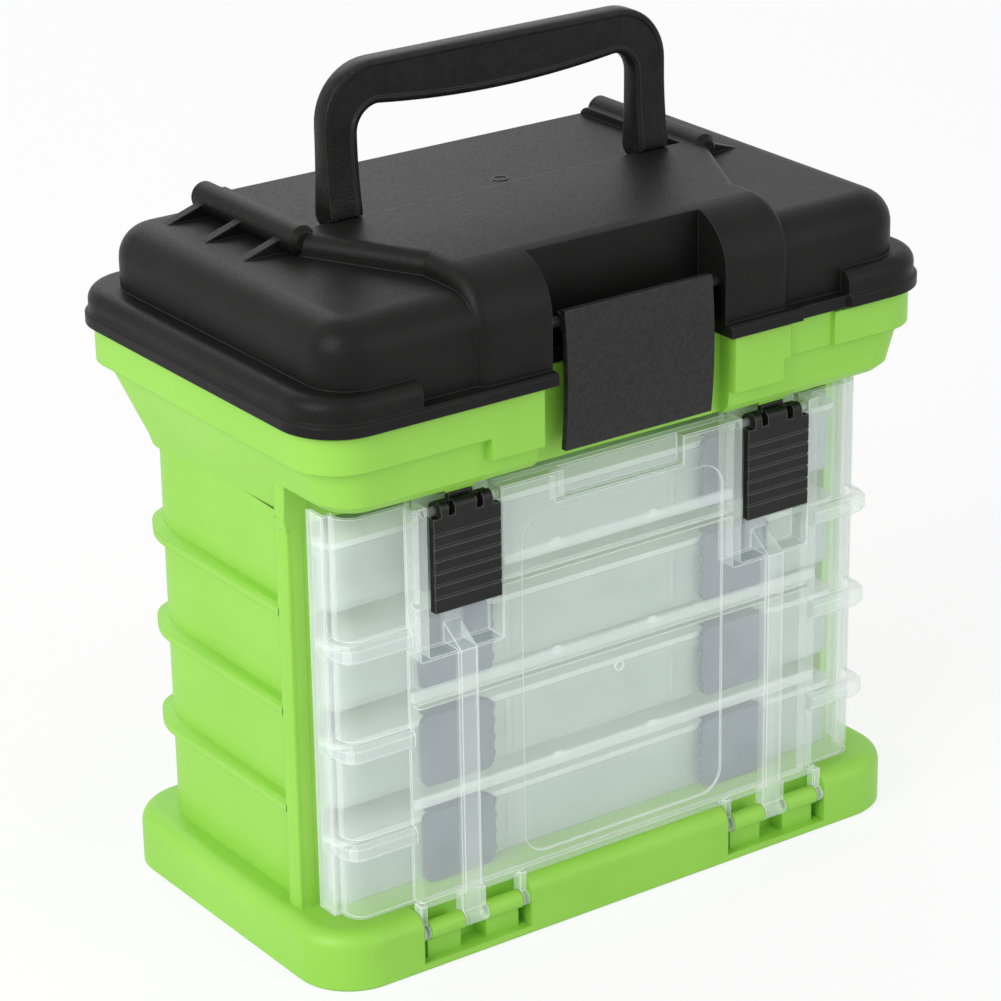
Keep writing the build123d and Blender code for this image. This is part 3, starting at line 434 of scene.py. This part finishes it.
# helpers for pieces that stand for a node or are added to one
def addPiece(name, points, faces, finish, body, sharpAngle=32):
    mesh = bpy.data.meshes.new(name)
    mesh.from_pydata(points, [], faces)
    mesh.validate()
    for face in mesh.polygons:
        face.use_smooth = True
    mesh.set_sharp_from_angle(angle=math.radians(sharpAngle))
    mesh.materials.append(finishes[finish])
    piece = bpy.data.objects.new(name, mesh)
    scene.collection.objects.link(piece)
    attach(piece, body)
    return piece


def mergedCopy(node):
    # points and faces of a node with its loose triangles joined
    work = bmesh.new()
    work.from_mesh(nodes[node].data)
    bmesh.ops.remove_doubles(work, verts=work.verts, dist=mergeDistance)
    points = [vert.co.copy() for vert in work.verts]
    faces = [[vert.index for vert in face.verts] for face in work.faces]
    work.free()
    return points, faces


def pointKey(point):
    return tuple(round(value * keysPerMetre) for value in point)


def cornerNormals(node):
    # the smooth normals that a node's mesh carries at each of its points
    mesh = nodes[node].data
    known = {}
    for loop, corner in zip(mesh.loops, mesh.corner_normals):
        known.setdefault(pointKey(mesh.vertices[loop.vertex_index].co), []).append(corner.vector.copy())
    return known


def keepNormals(mesh, before, known):
    # gives a reshaped copy the smooth normals of its node, turned with each face
    normals = []
    for face in mesh.polygons:
        old = [before[i] if i < len(before) else mesh.vertices[i].co for i in face.vertices]
        was = normal(old) if len(old) < 5 else face.normal  # faces with more corners hardly turn
        for place in old:
            near = max(known.get(pointKey(place), [was]), key=lambda n: n.dot(was))
            kept = near if near.dot(was) > sameTurn else was
            normals.append((kept + face.normal - was).normalized())
    mesh.normals_split_custom_set(normals)


def addPrism(points, faces, outline, low, high):
    # upright prism over an outline that runs anticlockwise seen from above
    first = len(points)
    count = len(outline)
    points += [Vector((x, y, low)) for x, y in outline] + [Vector((x, y, high)) for x, y in outline]
    faces.append([first + i for i in reversed(range(count))])
    faces.append([first + count + i for i in range(count)])
    for i in range(count):
        j = (i + 1) % count
        faces.append([first + i, first + j, first + count + j, first + count + i])


def mirrored(outline, side):
    # the outline on the right, or its mirror image on the left, still anticlockwise
    return outline if side > 0 else [(-x, y) for x, y in reversed(outline)]


def cutAway(points, faces, cutPoints, cutFaces, turnOut=False):
    # points and faces of a closed shape less the prisms that cut it
    solids = []
    for shapePoints, shapeFaces in ((points, faces), (cutPoints, cutFaces)):
        mesh = bpy.data.meshes.new("cutBlank")
        mesh.from_pydata(shapePoints, [], shapeFaces)
        if turnOut and not solids:
            work = bmesh.new()
            work.from_mesh(mesh)
            bmesh.ops.recalc_face_normals(work, faces=work.faces)
            work.to_mesh(mesh)
            work.free()
        solids.append(bpy.data.objects.new("cutBlank", mesh))
        scene.collection.objects.link(solids[-1])
    cut = solids[0].modifiers.new("cut", "BOOLEAN")
    cut.operation = "DIFFERENCE"
    cut.solver = "EXACT"
    cut.use_self = True
    cut.object = solids[1]
    whole = bpy.data.meshes.new_from_object(solids[0].evaluated_get(bpy.context.evaluated_depsgraph_get()))
    for solid in solids:
        bpy.data.objects.remove(solid)
    return [vert.co.copy() for vert in whole.vertices], [list(face.vertices) for face in whole.polygons]


# case with its side panels sunk between the front corner strips and the ribs, which are slim
caseShape = {
    "sideX": 0.1225,
    "backY": 0.0585,
    "corner": 0.021,
    "baseTop": 0.0220,
    "wallTop": 0.1689,
    "binFoot": 0.1691,
    "binNeck": 0.1962,
    "flareFoot": 0.1600,
    "panelSink": 0.0045,
    "backShift": 0.0035,
    "wallDepth": 0.0030,
    "frontEdge": 0.0040,
    "frontEdgeBackY": -0.0399,
    "frontSquareness": 0.92,
    "slack": 0.0001,
    "touch": 0.00005,
}
# slim ribs: their levels, the band that holds a rib's points, and half the height at each reach
ribShape = {
    "levels": (0.0601, 0.0975, 0.1349),
    "shift": -0.0011,
    "band": 0.0054,
    "reach": 0.0052,
    "root": 0.0008,
    "halves": ((0.0008, 0.0029), (0.0030, 0.0023), (0.0060, 0.0013)),
    "shoulder": 0.0030,
    "shoulderAt": 0.0031,
    "frontY": -0.030,
}
# strips and posts at the front corners, and the filler under the flare behind the strips
stripShape = {
    "innerX": 0.1131,
    "frontY": -0.0440,
    "backY": -0.0370,
    "step": 0.0004,
    "top": 0.1815,
    "foot": 0.1651,
    "bevel": 0.0003,
    "skin": 0.00001,
    "postBackY": -0.0392,
    "postInset": 0.0020,
    "postFoot": 0.0210,
    "postTop": 0.1661,
    "seamDepth": 0.0022,
    "seamBackY": -0.0150,
    "seamFoot": 0.1631,
    "seamTop": 0.1699,
}


def wallDistance(point):
    # how far a point stands out from the lower case's outer wall
    look = caseShape
    arcX = look["sideX"] - look["corner"]
    arcY = look["backY"] - look["corner"]
    x, y = abs(point.x), point.y
    if x > arcX and y > arcY:
        return math.hypot(x - arcX, y - arcY) - look["corner"]
    if y > arcY:
        return y - look["backY"]
    return x - look["sideX"]


def slimRib(point, stand):
    # brings a rib's point to the slim rib, and says whether it belongs to a rib
    look = ribShape
    level = min(look["levels"], key=lambda z: abs(z - point.z))
    if stand < -caseShape["touch"] or stand > look["reach"] or abs(point.z - level) > look["band"]:
        return False
    half = next(value for limit, value in look["halves"] if stand < limit)
    point.z = level + look["shift"] + math.copysign(half, point.z - level)
    besideBack = point.y <= caseShape["backY"] - caseShape["corner"]
    if look["root"] < stand < look["shoulder"] and besideBack:
        point.x = math.copysign(caseShape["sideX"] + look["shoulderAt"], point.x)
    if stand > look["root"] and point.y < look["frontY"]:
        point.y = stripShape["backY"] - stripShape["step"]
    return True


def squareFront(point):
    # brings the rounded front corner near to a square one
    look = caseShape
    centreX, centreY = look["sideX"] - look["frontEdge"], stripShape["frontY"] + look["frontEdge"]
    dx, dy = abs(point.x) - centreX, centreY - point.y
    if abs(math.hypot(dx, dy) - look["frontEdge"]) < look["slack"]:
        grow = max(look["frontSquareness"] * look["frontEdge"] / max(dx, dy, look["slack"]), 1.0)
        point.x = math.copysign(centreX + dx * grow, point.x)
        point.y = centreY - dy * grow


def sinkPanel(point):
    # moves a point of the case in with the side panels, the flare above them or the ribs' roots
    look = caseShape
    stand = wallDistance(point)
    isRib = slimRib(point, stand)
    if point.z < look["baseTop"] - look["slack"] or point.z > look["binNeck"]:
        return
    behindStrip = point.y > stripShape["backY"] + stripShape["step"] / 2
    onFlare = point.z > look["flareFoot"] and stand > look["touch"] and behindStrip
    onBin = point.z > look["wallTop"] + look["slack"] or onFlare
    atFront = point.y < look["frontEdgeBackY"] and abs(point.x) > look["sideX"] - look["frontEdge"]
    if atFront and not onBin and abs(stand) < look["frontEdge"] + look["slack"]:
        squareFront(point)
        return
    if not onBin and (stand < -look["wallDepth"] or (stand > look["touch"] and not isRib)):
        return
    if not onBin and not isRib and not behindStrip:
        return
    arcX = look["sideX"] - look["corner"]
    arcY = look["backY"] - look["corner"]
    fade = min(1.0, (look["binNeck"] - point.z) / (look["binNeck"] - look["binFoot"]))
    if abs(point.x) > arcX:
        share = (abs(point.x) - arcX) / look["corner"]
        shift = look["panelSink"] * fade * min(share, 1.0)
        point.x = math.copysign(abs(point.x) - shift, point.x)
    if point.y > arcY and not onBin:
        point.y += look["backShift"] * min((point.y - arcY) / look["corner"], 1.0)


def addStrip(points, faces, side):
    look = stripShape
    outer = caseShape["sideX"] - look["skin"]
    front = look["frontY"] + look["skin"]
    strip = [(look["innerX"], look["backY"]), (look["innerX"], front), (outer - look["bevel"], front),
             (outer, look["frontY"] + look["bevel"]), (outer, look["backY"])]
    addPrism(points, faces, mirrored(strip, side), look["foot"], look["top"])
    front = look["frontY"] + 2 * look["skin"]
    postX = outer - look["postInset"]
    post = [(look["innerX"], look["postBackY"]), (look["innerX"], front), (postX, front), (postX, look["postBackY"])]
    addPrism(points, faces, mirrored(post, side), look["postFoot"], look["postTop"])
    panelX = caseShape["sideX"] - caseShape["panelSink"]
    low, high = panelX - look["seamDepth"], panelX - caseShape["slack"]
    seam = [(low, look["seamBackY"]), (low, look["backY"]), (high, look["backY"]), (high, look["seamBackY"])]
    addPrism(points, faces, mirrored(seam, side), look["seamFoot"], look["seamTop"])


def makeCase():
    points, faces = mergedCopy("case_body")
    known = cornerNormals("case_body")
    blank = bpy.data.meshes.new("caseBlank")
    blank.from_pydata(points, [], faces)
    work = bmesh.new()
    work.from_mesh(blank)
    # rows of points behind the strips and at the walls' top, so that the sunk part ends there
    cuts = [((0, stripShape["backY"], 0), (0, 1, 0)),
            ((0, stripShape["backY"] + stripShape["step"], 0), (0, 1, 0)),
            ((0, 0, caseShape["wallTop"]), (0, 0, 1))]
    for place, direction in cuts:
        everything = work.verts[:] + work.edges[:] + work.faces[:]
        bmesh.ops.bisect_plane(work, geom=everything, plane_co=place, plane_no=direction, dist=stripShape["skin"])
    before = [vert.co.copy() for vert in work.verts]
    faces = [[vert.index for vert in face.verts] for face in work.faces]
    work.free()
    points = [point.copy() for point in before]
    for point in points:
        sinkPanel(point)
    for side in (-1, 1):
        addStrip(points, faces, side)
    piece = addPiece("caseShell", points, faces, "green_shell", "case")
    keepNormals(piece.data, before, known)
    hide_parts("case_body")


makeCase()
print("case made")

# carry handle: one rounded strap with a sunk face between rims, its feet closed round the lid's lugs
handleShape = {
    "outerX": 0.0730,
    "legWidth": 0.0134,
    "top": 0.3070,
    "gripHeight": 0.0160,
    "gripBow": 0.0032,
    "outerCorner": 0.0210,
    "innerCorner": 0.0090,
    "front": 0.0009,
    "back": 0.0089,
    "footFront": -0.0014,
    "footBack": 0.0100,
    "flareTop": 0.2820,
    "floor": 0.2506,
    "floorBevel": (0.0006, 0.0016),
    "ledge": 0.2536,
    "ledgeFront": 0.0007,
    "heel": 3,
    "edge": 0.0012,
    "edgeBend": 0.3,
    "rim": 0.0022,
    "rimSlope": 0.0005,
    "sink": 0.0007,
    "deepest": 0.3,
    "legStep": 0.0035,
    "legEnd": 0.0040,
    "cornerSteps": 12,
    "gripSteps": 16,
    "slack": 0.0001,
}
# where the handle turns, and the slots in its feet for the lid's lugs
handlePivot = {
    "y": 0.0053,
    "z": 0.2552,
    "radius": 0.0049,
    "lowest": 0.999,
    "lugX": 0.0659,
    "slotHalf": 0.0037,
    "slotFront": 0.0009,
    "slotTop": 0.2598,
    "slotFloor": 0.2490,
    "slotBack": 0.0140,
    "ledgeSlotFront": -0.0040,
    "ledgeSlotTop": 0.2534,
    "pinShare": 0.76,
}


def handleDepths(z):
    # front and back of the handle at a height
    look, pivot = handleShape, handlePivot
    if z < pivot["z"]:
        drop = min(pivot["z"] - z, pivot["radius"] * pivot["lowest"])
        reach = math.sqrt(pivot["radius"] ** 2 - drop ** 2)
        front = look["footFront"] if z > look["ledge"] - look["slack"] / 10 else look["ledgeFront"]
        return max(front, pivot["y"] - look["heel"] * reach), pivot["y"] + reach
    share = min(max((look["flareTop"] - z) / (look["flareTop"] - pivot["z"]), 0), 1) ** 2
    front = look["front"] + share * (look["footFront"] - look["front"])
    back = look["back"] + share * (look["footBack"] - look["slack"] - look["back"])
    return front, back


def handleStations():
    # pairs of outer and inner points of the strap from the left foot to the right one
    look = handleShape
    outerX, top = look["outerX"], look["top"]
    innerX = outerX - look["legWidth"]
    gripLow = top - look["gripHeight"]
    outerZ, innerZ = top - look["outerCorner"], gripLow - look["innerCorner"]
    levels = [look["floor"]] + [look["floor"] + rise for rise in look["floorBevel"]]
    levels += [look["ledge"] - look["slack"], look["ledge"], handlePivot["z"] + look["slack"]]
    while levels[-1] < innerZ - look["legEnd"]:
        levels.append(levels[-1] + look["legStep"])
    pairs = [((-outerX, z), (-innerX, z)) for z in levels]
    for i in range(look["cornerSteps"] + 1):
        turn = math.pi / 2 * i / look["cornerSteps"]
        along, rise = 1 - math.cos(turn), math.sin(turn)
        pairs.append(((-outerX + look["outerCorner"] * along, outerZ + look["outerCorner"] * rise),
                      (-innerX + look["innerCorner"] * along, innerZ + look["innerCorner"] * rise)))
    outerEnd, innerEnd = -outerX + look["outerCorner"], -innerX + look["innerCorner"]
    half = look["gripSteps"] // 2
    for i in range(1, half):
        rest = 1 - i / half
        bow = look["gripBow"] * (1 - rest ** 2)
        pairs.append(((outerEnd * rest, top), (innerEnd * rest, gripLow - bow)))
    middle = [((0.0, top), (0.0, gripLow - look["gripBow"]))]
    onRight = [((-outer[0], outer[1]), (-inner[0], inner[1])) for outer, inner in reversed(pairs)]
    return pairs + middle + onRight


def handleRing(outer, inner):
    # one section of the strap, from its outer edge round the front to the inner edge and back
    look = handleShape
    edge, rim, bend = look["edge"], look["rim"], look["edge"] * look["edgeBend"]
    profile = [(0, edge), (bend, bend), (edge, 0), (rim, 0), (rim + look["rimSlope"], look["sink"])]
    outerPoint, innerPoint = Vector((outer[0], 0, outer[1])), Vector((inner[0], 0, inner[1]))
    across = innerPoint - outerPoint
    width = across.length
    across.normalize()
    outerDepths, innerDepths = handleDepths(outer[1]), handleDepths(inner[1])
    there = [(along, deep) for along, deep in profile] + [(width - along, deep) for along, deep in reversed(profile)]
    ring = []
    for onBack, half in ((False, there), (True, there[::-1])):
        for along, deep in half:
            place = outerPoint + across * along
            share = along / width
            front = outerDepths[0] + share * (innerDepths[0] - outerDepths[0])
            back = outerDepths[1] + share * (innerDepths[1] - outerDepths[1])
            deep = min(deep, (back - front) * look["deepest"])
            place.y = back - deep if onBack else front + deep
            ring.append(place)
    return ring


def lugSlots():
    pivot = handlePivot
    points, faces = [], []
    for side in (-1, 1):
        low, high = side * pivot["lugX"] - pivot["slotHalf"], side * pivot["lugX"] + pivot["slotHalf"]
        for front, top in ((pivot["slotFront"], pivot["slotTop"]), (pivot["ledgeSlotFront"], pivot["ledgeSlotTop"])):
            outline = [(low, front), (high, front), (high, pivot["slotBack"]), (low, pivot["slotBack"])]
            addPrism(points, faces, outline, pivot["slotFloor"], top)
    return points, faces


def makeHandle():
    # a skin over the strap's sections, closed at both feet
    rings = [handleRing(outer, inner) for outer, inner in handleStations()]
    size = len(rings[0])
    points = [point for ring in rings for point in ring]
    faces = [list(range(size)), [len(points) - 1 - j for j in range(size)]]
    for i in range(len(rings) - 1):
        for j in range(size):
            k = (j + 1) % size
            faces.append([i * size + j, (i + 1) * size + j, (i + 1) * size + k, i * size + k])
    points, faces = cutAway(points, faces, *lugSlots(), turnOut=True)
    piece = addPiece("carryHandle", points, faces, "black_grip", "handle")
    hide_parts("handle")


def makeHandlePins():
    # the pins move inwards with the legs
    points, faces = mergedCopy("handle_pins")
    middle = handleShape["outerX"] - handleShape["legWidth"] / 2
    for point in points:
        offset = (abs(point.x) - handlePivot["lugX"]) * handlePivot["pinShare"]
        point.x = math.copysign(middle + offset, point.x)
    piece = addPiece("handlePins", points, faces, "steel_pin", "lid")
    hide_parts("handle_pins")


makeHandle()
makeHandlePins()
print("handle made")

# door latches, notched at the top so that the door's rod shows
latchNotches = {
    "places": (0.27, 0.69),
    "half": 0.0014,
    "foot": 0.1688,
    "front": -0.0735,
    "back": -0.0682,
    "top": 0.1760,
}


def notchLatch(node, name):
    # each notch is placed as a share of the latch's width
    look = latchNotches
    points, faces = mergedCopy(node)
    left, right = min(point.x for point in points), max(point.x for point in points)
    cutPoints, cutFaces = [], []
    for share in look["places"]:
        middle = left + share * (right - left)
        low, high = middle - look["half"], middle + look["half"]
        outline = [(low, look["front"]), (high, look["front"]), (high, look["back"]), (low, look["back"])]
        addPrism(cutPoints, cutFaces, outline, look["foot"], look["top"])
    points, faces = cutAway(points, faces, cutPoints, cutFaces)
    piece = addPiece(name, points, faces, "black_smooth", node)
    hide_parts(node)


for node, name in (("door_latch_left", "doorLatchLeft"), ("door_latch_right", "doorLatchRight")):
    notchLatch(node, name)
print("door latches notched")


# rows of one small shape, bar or bump, laid out by Geometry Nodes
rowInputs = {"Count": "NodeSocketInt", "First": "NodeSocketVector", "Step": "NodeSocketVector",
             "Rows": "NodeSocketInt", "Row Step": "NodeSocketVector", "Size": "NodeSocketVector",
             "Finish": "NodeSocketMaterial"}


def makeRowTree(name, shapeKind):
    tree = bpy.data.node_groups.new(name, "GeometryNodeTree")
    sockets = {label: tree.interface.new_socket(label, in_out="INPUT", socket_type=kind).identifier
               for label, kind in rowInputs.items()}
    tree.interface.new_socket("Geometry", in_out="OUTPUT", socket_type="NodeSocketGeometry")
    given = tree.nodes.new("NodeGroupInput").outputs
    # a line of points, each with a column of points on it, and the shape on every one
    line = addNode(tree, "GeometryNodeMeshLine", {"mode": "OFFSET"}, Count=given["Count"], Offset=given["Step"],
                   Start_Location=given["First"])
    column = addNode(tree, "GeometryNodeMeshLine", {"mode": "OFFSET"}, Count=given["Rows"], Offset=given["Row Step"])
    grid = addNode(tree, "GeometryNodeInstanceOnPoints", Points=line.outputs["Mesh"], Instance=column.outputs["Mesh"])
    places = addNode(tree, "GeometryNodeRealizeInstances", Geometry=grid.outputs["Instances"])
    if shapeKind == "bar":
        shape = addNode(tree, "GeometryNodeMeshCube", Size=(1, 1, 1))
    else:
        shape = addNode(tree, "GeometryNodeMeshIcoSphere", Radius=0.5, Subdivisions=3)
    copies = addNode(tree, "GeometryNodeInstanceOnPoints", Points=places.outputs["Geometry"],
                     Instance=shape.outputs["Mesh"], Scale=given["Size"])
    plain = addNode(tree, "GeometryNodeRealizeInstances", Geometry=copies.outputs["Instances"])
    painted = addNode(tree, "GeometryNodeSetMaterial", Geometry=plain.outputs["Geometry"], Material=given["Finish"])
    output = tree.nodes.new("NodeGroupOutput")
    tree.links.new(painted.outputs["Geometry"], output.inputs["Geometry"])
    return tree, sockets


rowTrees = {"bar": makeRowTree("barRow", "bar"), "bump": makeRowTree("bumpRow", "bump")}


def addRow(name, kind, look, finish, body):
    tree, sockets = rowTrees[kind]
    piece = bpy.data.objects.new(name, bpy.data.meshes.new(name))
    scene.collection.objects.link(piece)
    rows = piece.modifiers.new("rows", "NODES")
    rows.node_group = tree
    for label, value in {**look, "Finish": finishes[finish]}.items():
        rows[sockets[label]] = value
    plain = bpy.data.meshes.new_from_object(piece.evaluated_get(bpy.context.evaluated_depsgraph_get()))
    piece.modifiers.remove(rows)
    piece.data = plain
    plain.name = name
    for face in plain.polygons:
        face.use_smooth = kind == "bump"
    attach(piece, body)


# bars across the inside of the door, with their bumps
doorBars = {
    "low": {"Count": 1, "First": (0, -0.06755, 0.1033), "Step": (0, 0, 0), "Rows": 2, "Row Step": (0, 0, -0.0411),
            "Size": (0.1780, 0.0015, 0.0036)},
    "top": {"Count": 1, "First": (0, -0.06755, 0.1444), "Step": (0, 0, 0), "Rows": 1, "Row Step": (0, 0, 0),
            "Size": (0.1000, 0.0015, 0.0036)},
    "bumps": {"Count": 2, "First": (-0.0270, -0.0668, 0.1452), "Step": (0.0420, 0, 0), "Rows": 3,
              "Row Step": (0, 0, -0.0411), "Size": (0.0050, 0.0024, 0.0034)},
}
addRow("doorBarsLow", "bar", doorBars["low"], "clear_bar", "door")
addRow("doorBarTop", "bar", doorBars["top"], "clear_bar", "door")
addRow("doorBumps", "bump", doorBars["bumps"], "clear_lid", "door")

# teeth beside the latches of each tray
trayTeeth = {"insideX": 0.0466, "frontY": -0.0545, "foot": 0.0052, "step": 0.0062, "rows": 4,
             "size": (0.0022, 0.0016, 0.0030), "lowest": 0.0224, "trayStep": 0.0374}
for tray in range(4):
    base = trayTeeth["lowest"] + tray * trayTeeth["trayStep"] + trayTeeth["foot"]
    teeth = {"Count": 2, "First": (-trayTeeth["insideX"], trayTeeth["frontY"], base),
             "Step": (2 * trayTeeth["insideX"], 0, 0), "Rows": trayTeeth["rows"],
             "Row Step": (0, 0, trayTeeth["step"]), "Size": trayTeeth["size"]}
    addRow(f"trayTeeth_{tray + 1}", "bump", teeth, "tray_latch", f"tray_{tray + 1}")
print("bars, bumps and teeth made")

# small rings that the mould's gates leave on the lid and the door
gateRings = {
    "lid": {"centre": (0.0080, 0.0131, 0.2500), "out": (0, 0, 1), "radius": 0.0030, "width": 0.0007,
            "rise": 0.0003, "bury": 0.0002},
    "door": {"centre": (-0.0018, -0.0694, 0.0918), "out": (0, -1, 0), "radius": 0.0021, "width": 0.0006,
             "rise": 0.0003, "bury": 0.0002},
}
ringSlope = 0.2  # share of a ring's width that each sloping side takes


def addRing(name, look, finish, body, steps=28):
    # a low ring with sloping sides, a little sunk into the face that it stands on
    out = Vector(look["out"])
    across = Vector((1, 0, 0))
    up = out.cross(across)
    points, faces = [], []
    width, rise, bury = look["width"], look["rise"], look["bury"]
    profile = ((0, -bury), (width, -bury), (width * (1 - ringSlope), rise), (width * ringSlope, rise))
    for i in range(steps):
        turn = 2 * math.pi * i / steps
        spoke = math.cos(turn) * across + math.sin(turn) * up
        for along, height in profile:
            points.append(Vector(look["centre"]) + (look["radius"] - width + along) * spoke + height * out)
    for i in range(steps):
        j = (i + 1) % steps
        for k in range(4):
            m = (k + 1) % 4
            faces.append([4 * i + k, 4 * j + k, 4 * j + m, 4 * i + m])
    addPiece(name, points, faces, finish, body)


addRing("lidGateRing", gateRings["lid"], "black_smooth", "lid")
addRing("doorGateRing", gateRings["door"], "clear_lid", "door")
print("gate rings made")

# floor, lamps and world
studio = {
    "floorSize": 8.0,
    "floorColour": (0.95, 0.95, 0.95),
    "paperShare": 0.8,
    "worldSky": 0.55,
    "keyPower": 36.5,
    "keyPlace": (-2.0, -0.45, 1.3),
    "keySize": 1.4,
    "fillPower": 12.0,
    "fillPlace": (0.9, -2.0, 1.0),
    "fillSize": 1.6,
    "backPower": 10.0,
    "backPlace": (0.5, 1.8, 1.6),
    "backSize": 1.6,
    "aim": (0, 0, 0.13),
}


def seenRay(tree):
    # 1 for what the camera, a reflection or a clear wall shows, 0 for light on the object
    path = addNode(tree, "ShaderNodeLightPath")
    mirrorRay = mathNode(tree, "MAXIMUM", path.outputs["Is Glossy Ray"], path.outputs["Is Transmission Ray"])
    return mathNode(tree, "MAXIMUM", path.outputs["Is Camera Ray"], mirrorRay)


def makeFloor():
    half = studio["floorSize"] / 2
    mesh = bpy.data.meshes.new("floor")
    mesh.from_pydata([(-half, -half, 0), (half, -half, 0), (half, half, 0), (-half, half, 0)], [], [(0, 1, 2, 3)])
    floor = bpy.data.objects.new("floor", mesh)
    scene.collection.objects.link(floor)
    material = bpy.data.materials.new("floorPaint")
    material.use_nodes = True
    tree = material.node_tree
    tree.nodes.clear()
    output = addNode(tree, "ShaderNodeOutputMaterial")
    paint = addNode(tree, "ShaderNodeBsdfDiffuse", Color=(*studio["floorColour"], 1))
    paper = addNode(tree, "ShaderNodeEmission", Color=(1, 1, 1, 1), Strength=1.0)
    mix = addNode(tree, "ShaderNodeMixShader", Fac=mathNode(tree, "MULTIPLY", seenRay(tree), studio["paperShare"]))
    tree.links.new(paint.outputs["BSDF"], mix.inputs[1])
    tree.links.new(paper.outputs["Emission"], mix.inputs[2])
    tree.links.new(mix.outputs["Shader"], output.inputs["Surface"])
    mesh.materials.append(material)


def makeWorld():
    world = bpy.data.worlds.new("studioWorld")
    scene.world = world
    world.use_nodes = True
    tree = world.node_tree
    tree.nodes.clear()
    output = addNode(tree, "ShaderNodeOutputWorld")
    sky = addNode(tree, "ShaderNodeBackground", Color=(1, 1, 1, 1), Strength=studio["worldSky"])
    paper = addNode(tree, "ShaderNodeBackground", Color=(1, 1, 1, 1), Strength=1.0)
    mix = addNode(tree, "ShaderNodeMixShader", Fac=seenRay(tree))
    tree.links.new(sky.outputs["Background"], mix.inputs[1])
    tree.links.new(paper.outputs["Background"], mix.inputs[2])
    tree.links.new(mix.outputs["Shader"], output.inputs["Surface"])


def makeLamp(name):
    lamp = bpy.data.lights.new(name, "AREA")
    lamp.energy = studio[name + "Power"]
    lamp.size = studio[name + "Size"]
    place = Vector(studio[name + "Place"])
    piece = bpy.data.objects.new(name, lamp)
    scene.collection.objects.link(piece)
    piece.location = place
    piece.rotation_euler = (Vector(studio["aim"]) - place).to_track_quat("-Z", "Y").to_euler()


makeFloor()
makeWorld()
for lampName in ("key", "fill", "back"):
    makeLamp(lampName)
print("studio made")

# camera, from the fit of the box's right-angled edges
view = {
    "place": (-0.71946, -1.01886, 0.64437),
    "azimuth": -35.1,
    "elevation": 22.33,
    "roll": -0.92,
    "lens": 132.78,
    "sensor": 36.0,
}


def makeCamera():
    azimuth, elevation, roll = (math.radians(view[key]) for key in ("azimuth", "elevation", "roll"))
    back = Vector((math.sin(azimuth) * math.cos(elevation), -math.cos(azimuth) * math.cos(elevation),
                   math.sin(elevation)))
    level = Vector((math.cos(azimuth), math.sin(azimuth), 0))
    upright = back.cross(level)
    right = math.cos(roll) * level + math.sin(roll) * upright
    up = math.cos(roll) * upright - math.sin(roll) * level
    camera = bpy.data.cameras.new("camera")
    camera.lens = view["lens"]
    camera.sensor_width = view["sensor"]
    piece = bpy.data.objects.new("camera", camera)
    scene.collection.objects.link(piece)
    turned = Matrix((right, up, back)).transposed().to_4x4()
    piece.matrix_world = Matrix.Translation(view["place"]) @ turned
    scene.camera = piece


makeCamera()
print("camera made")
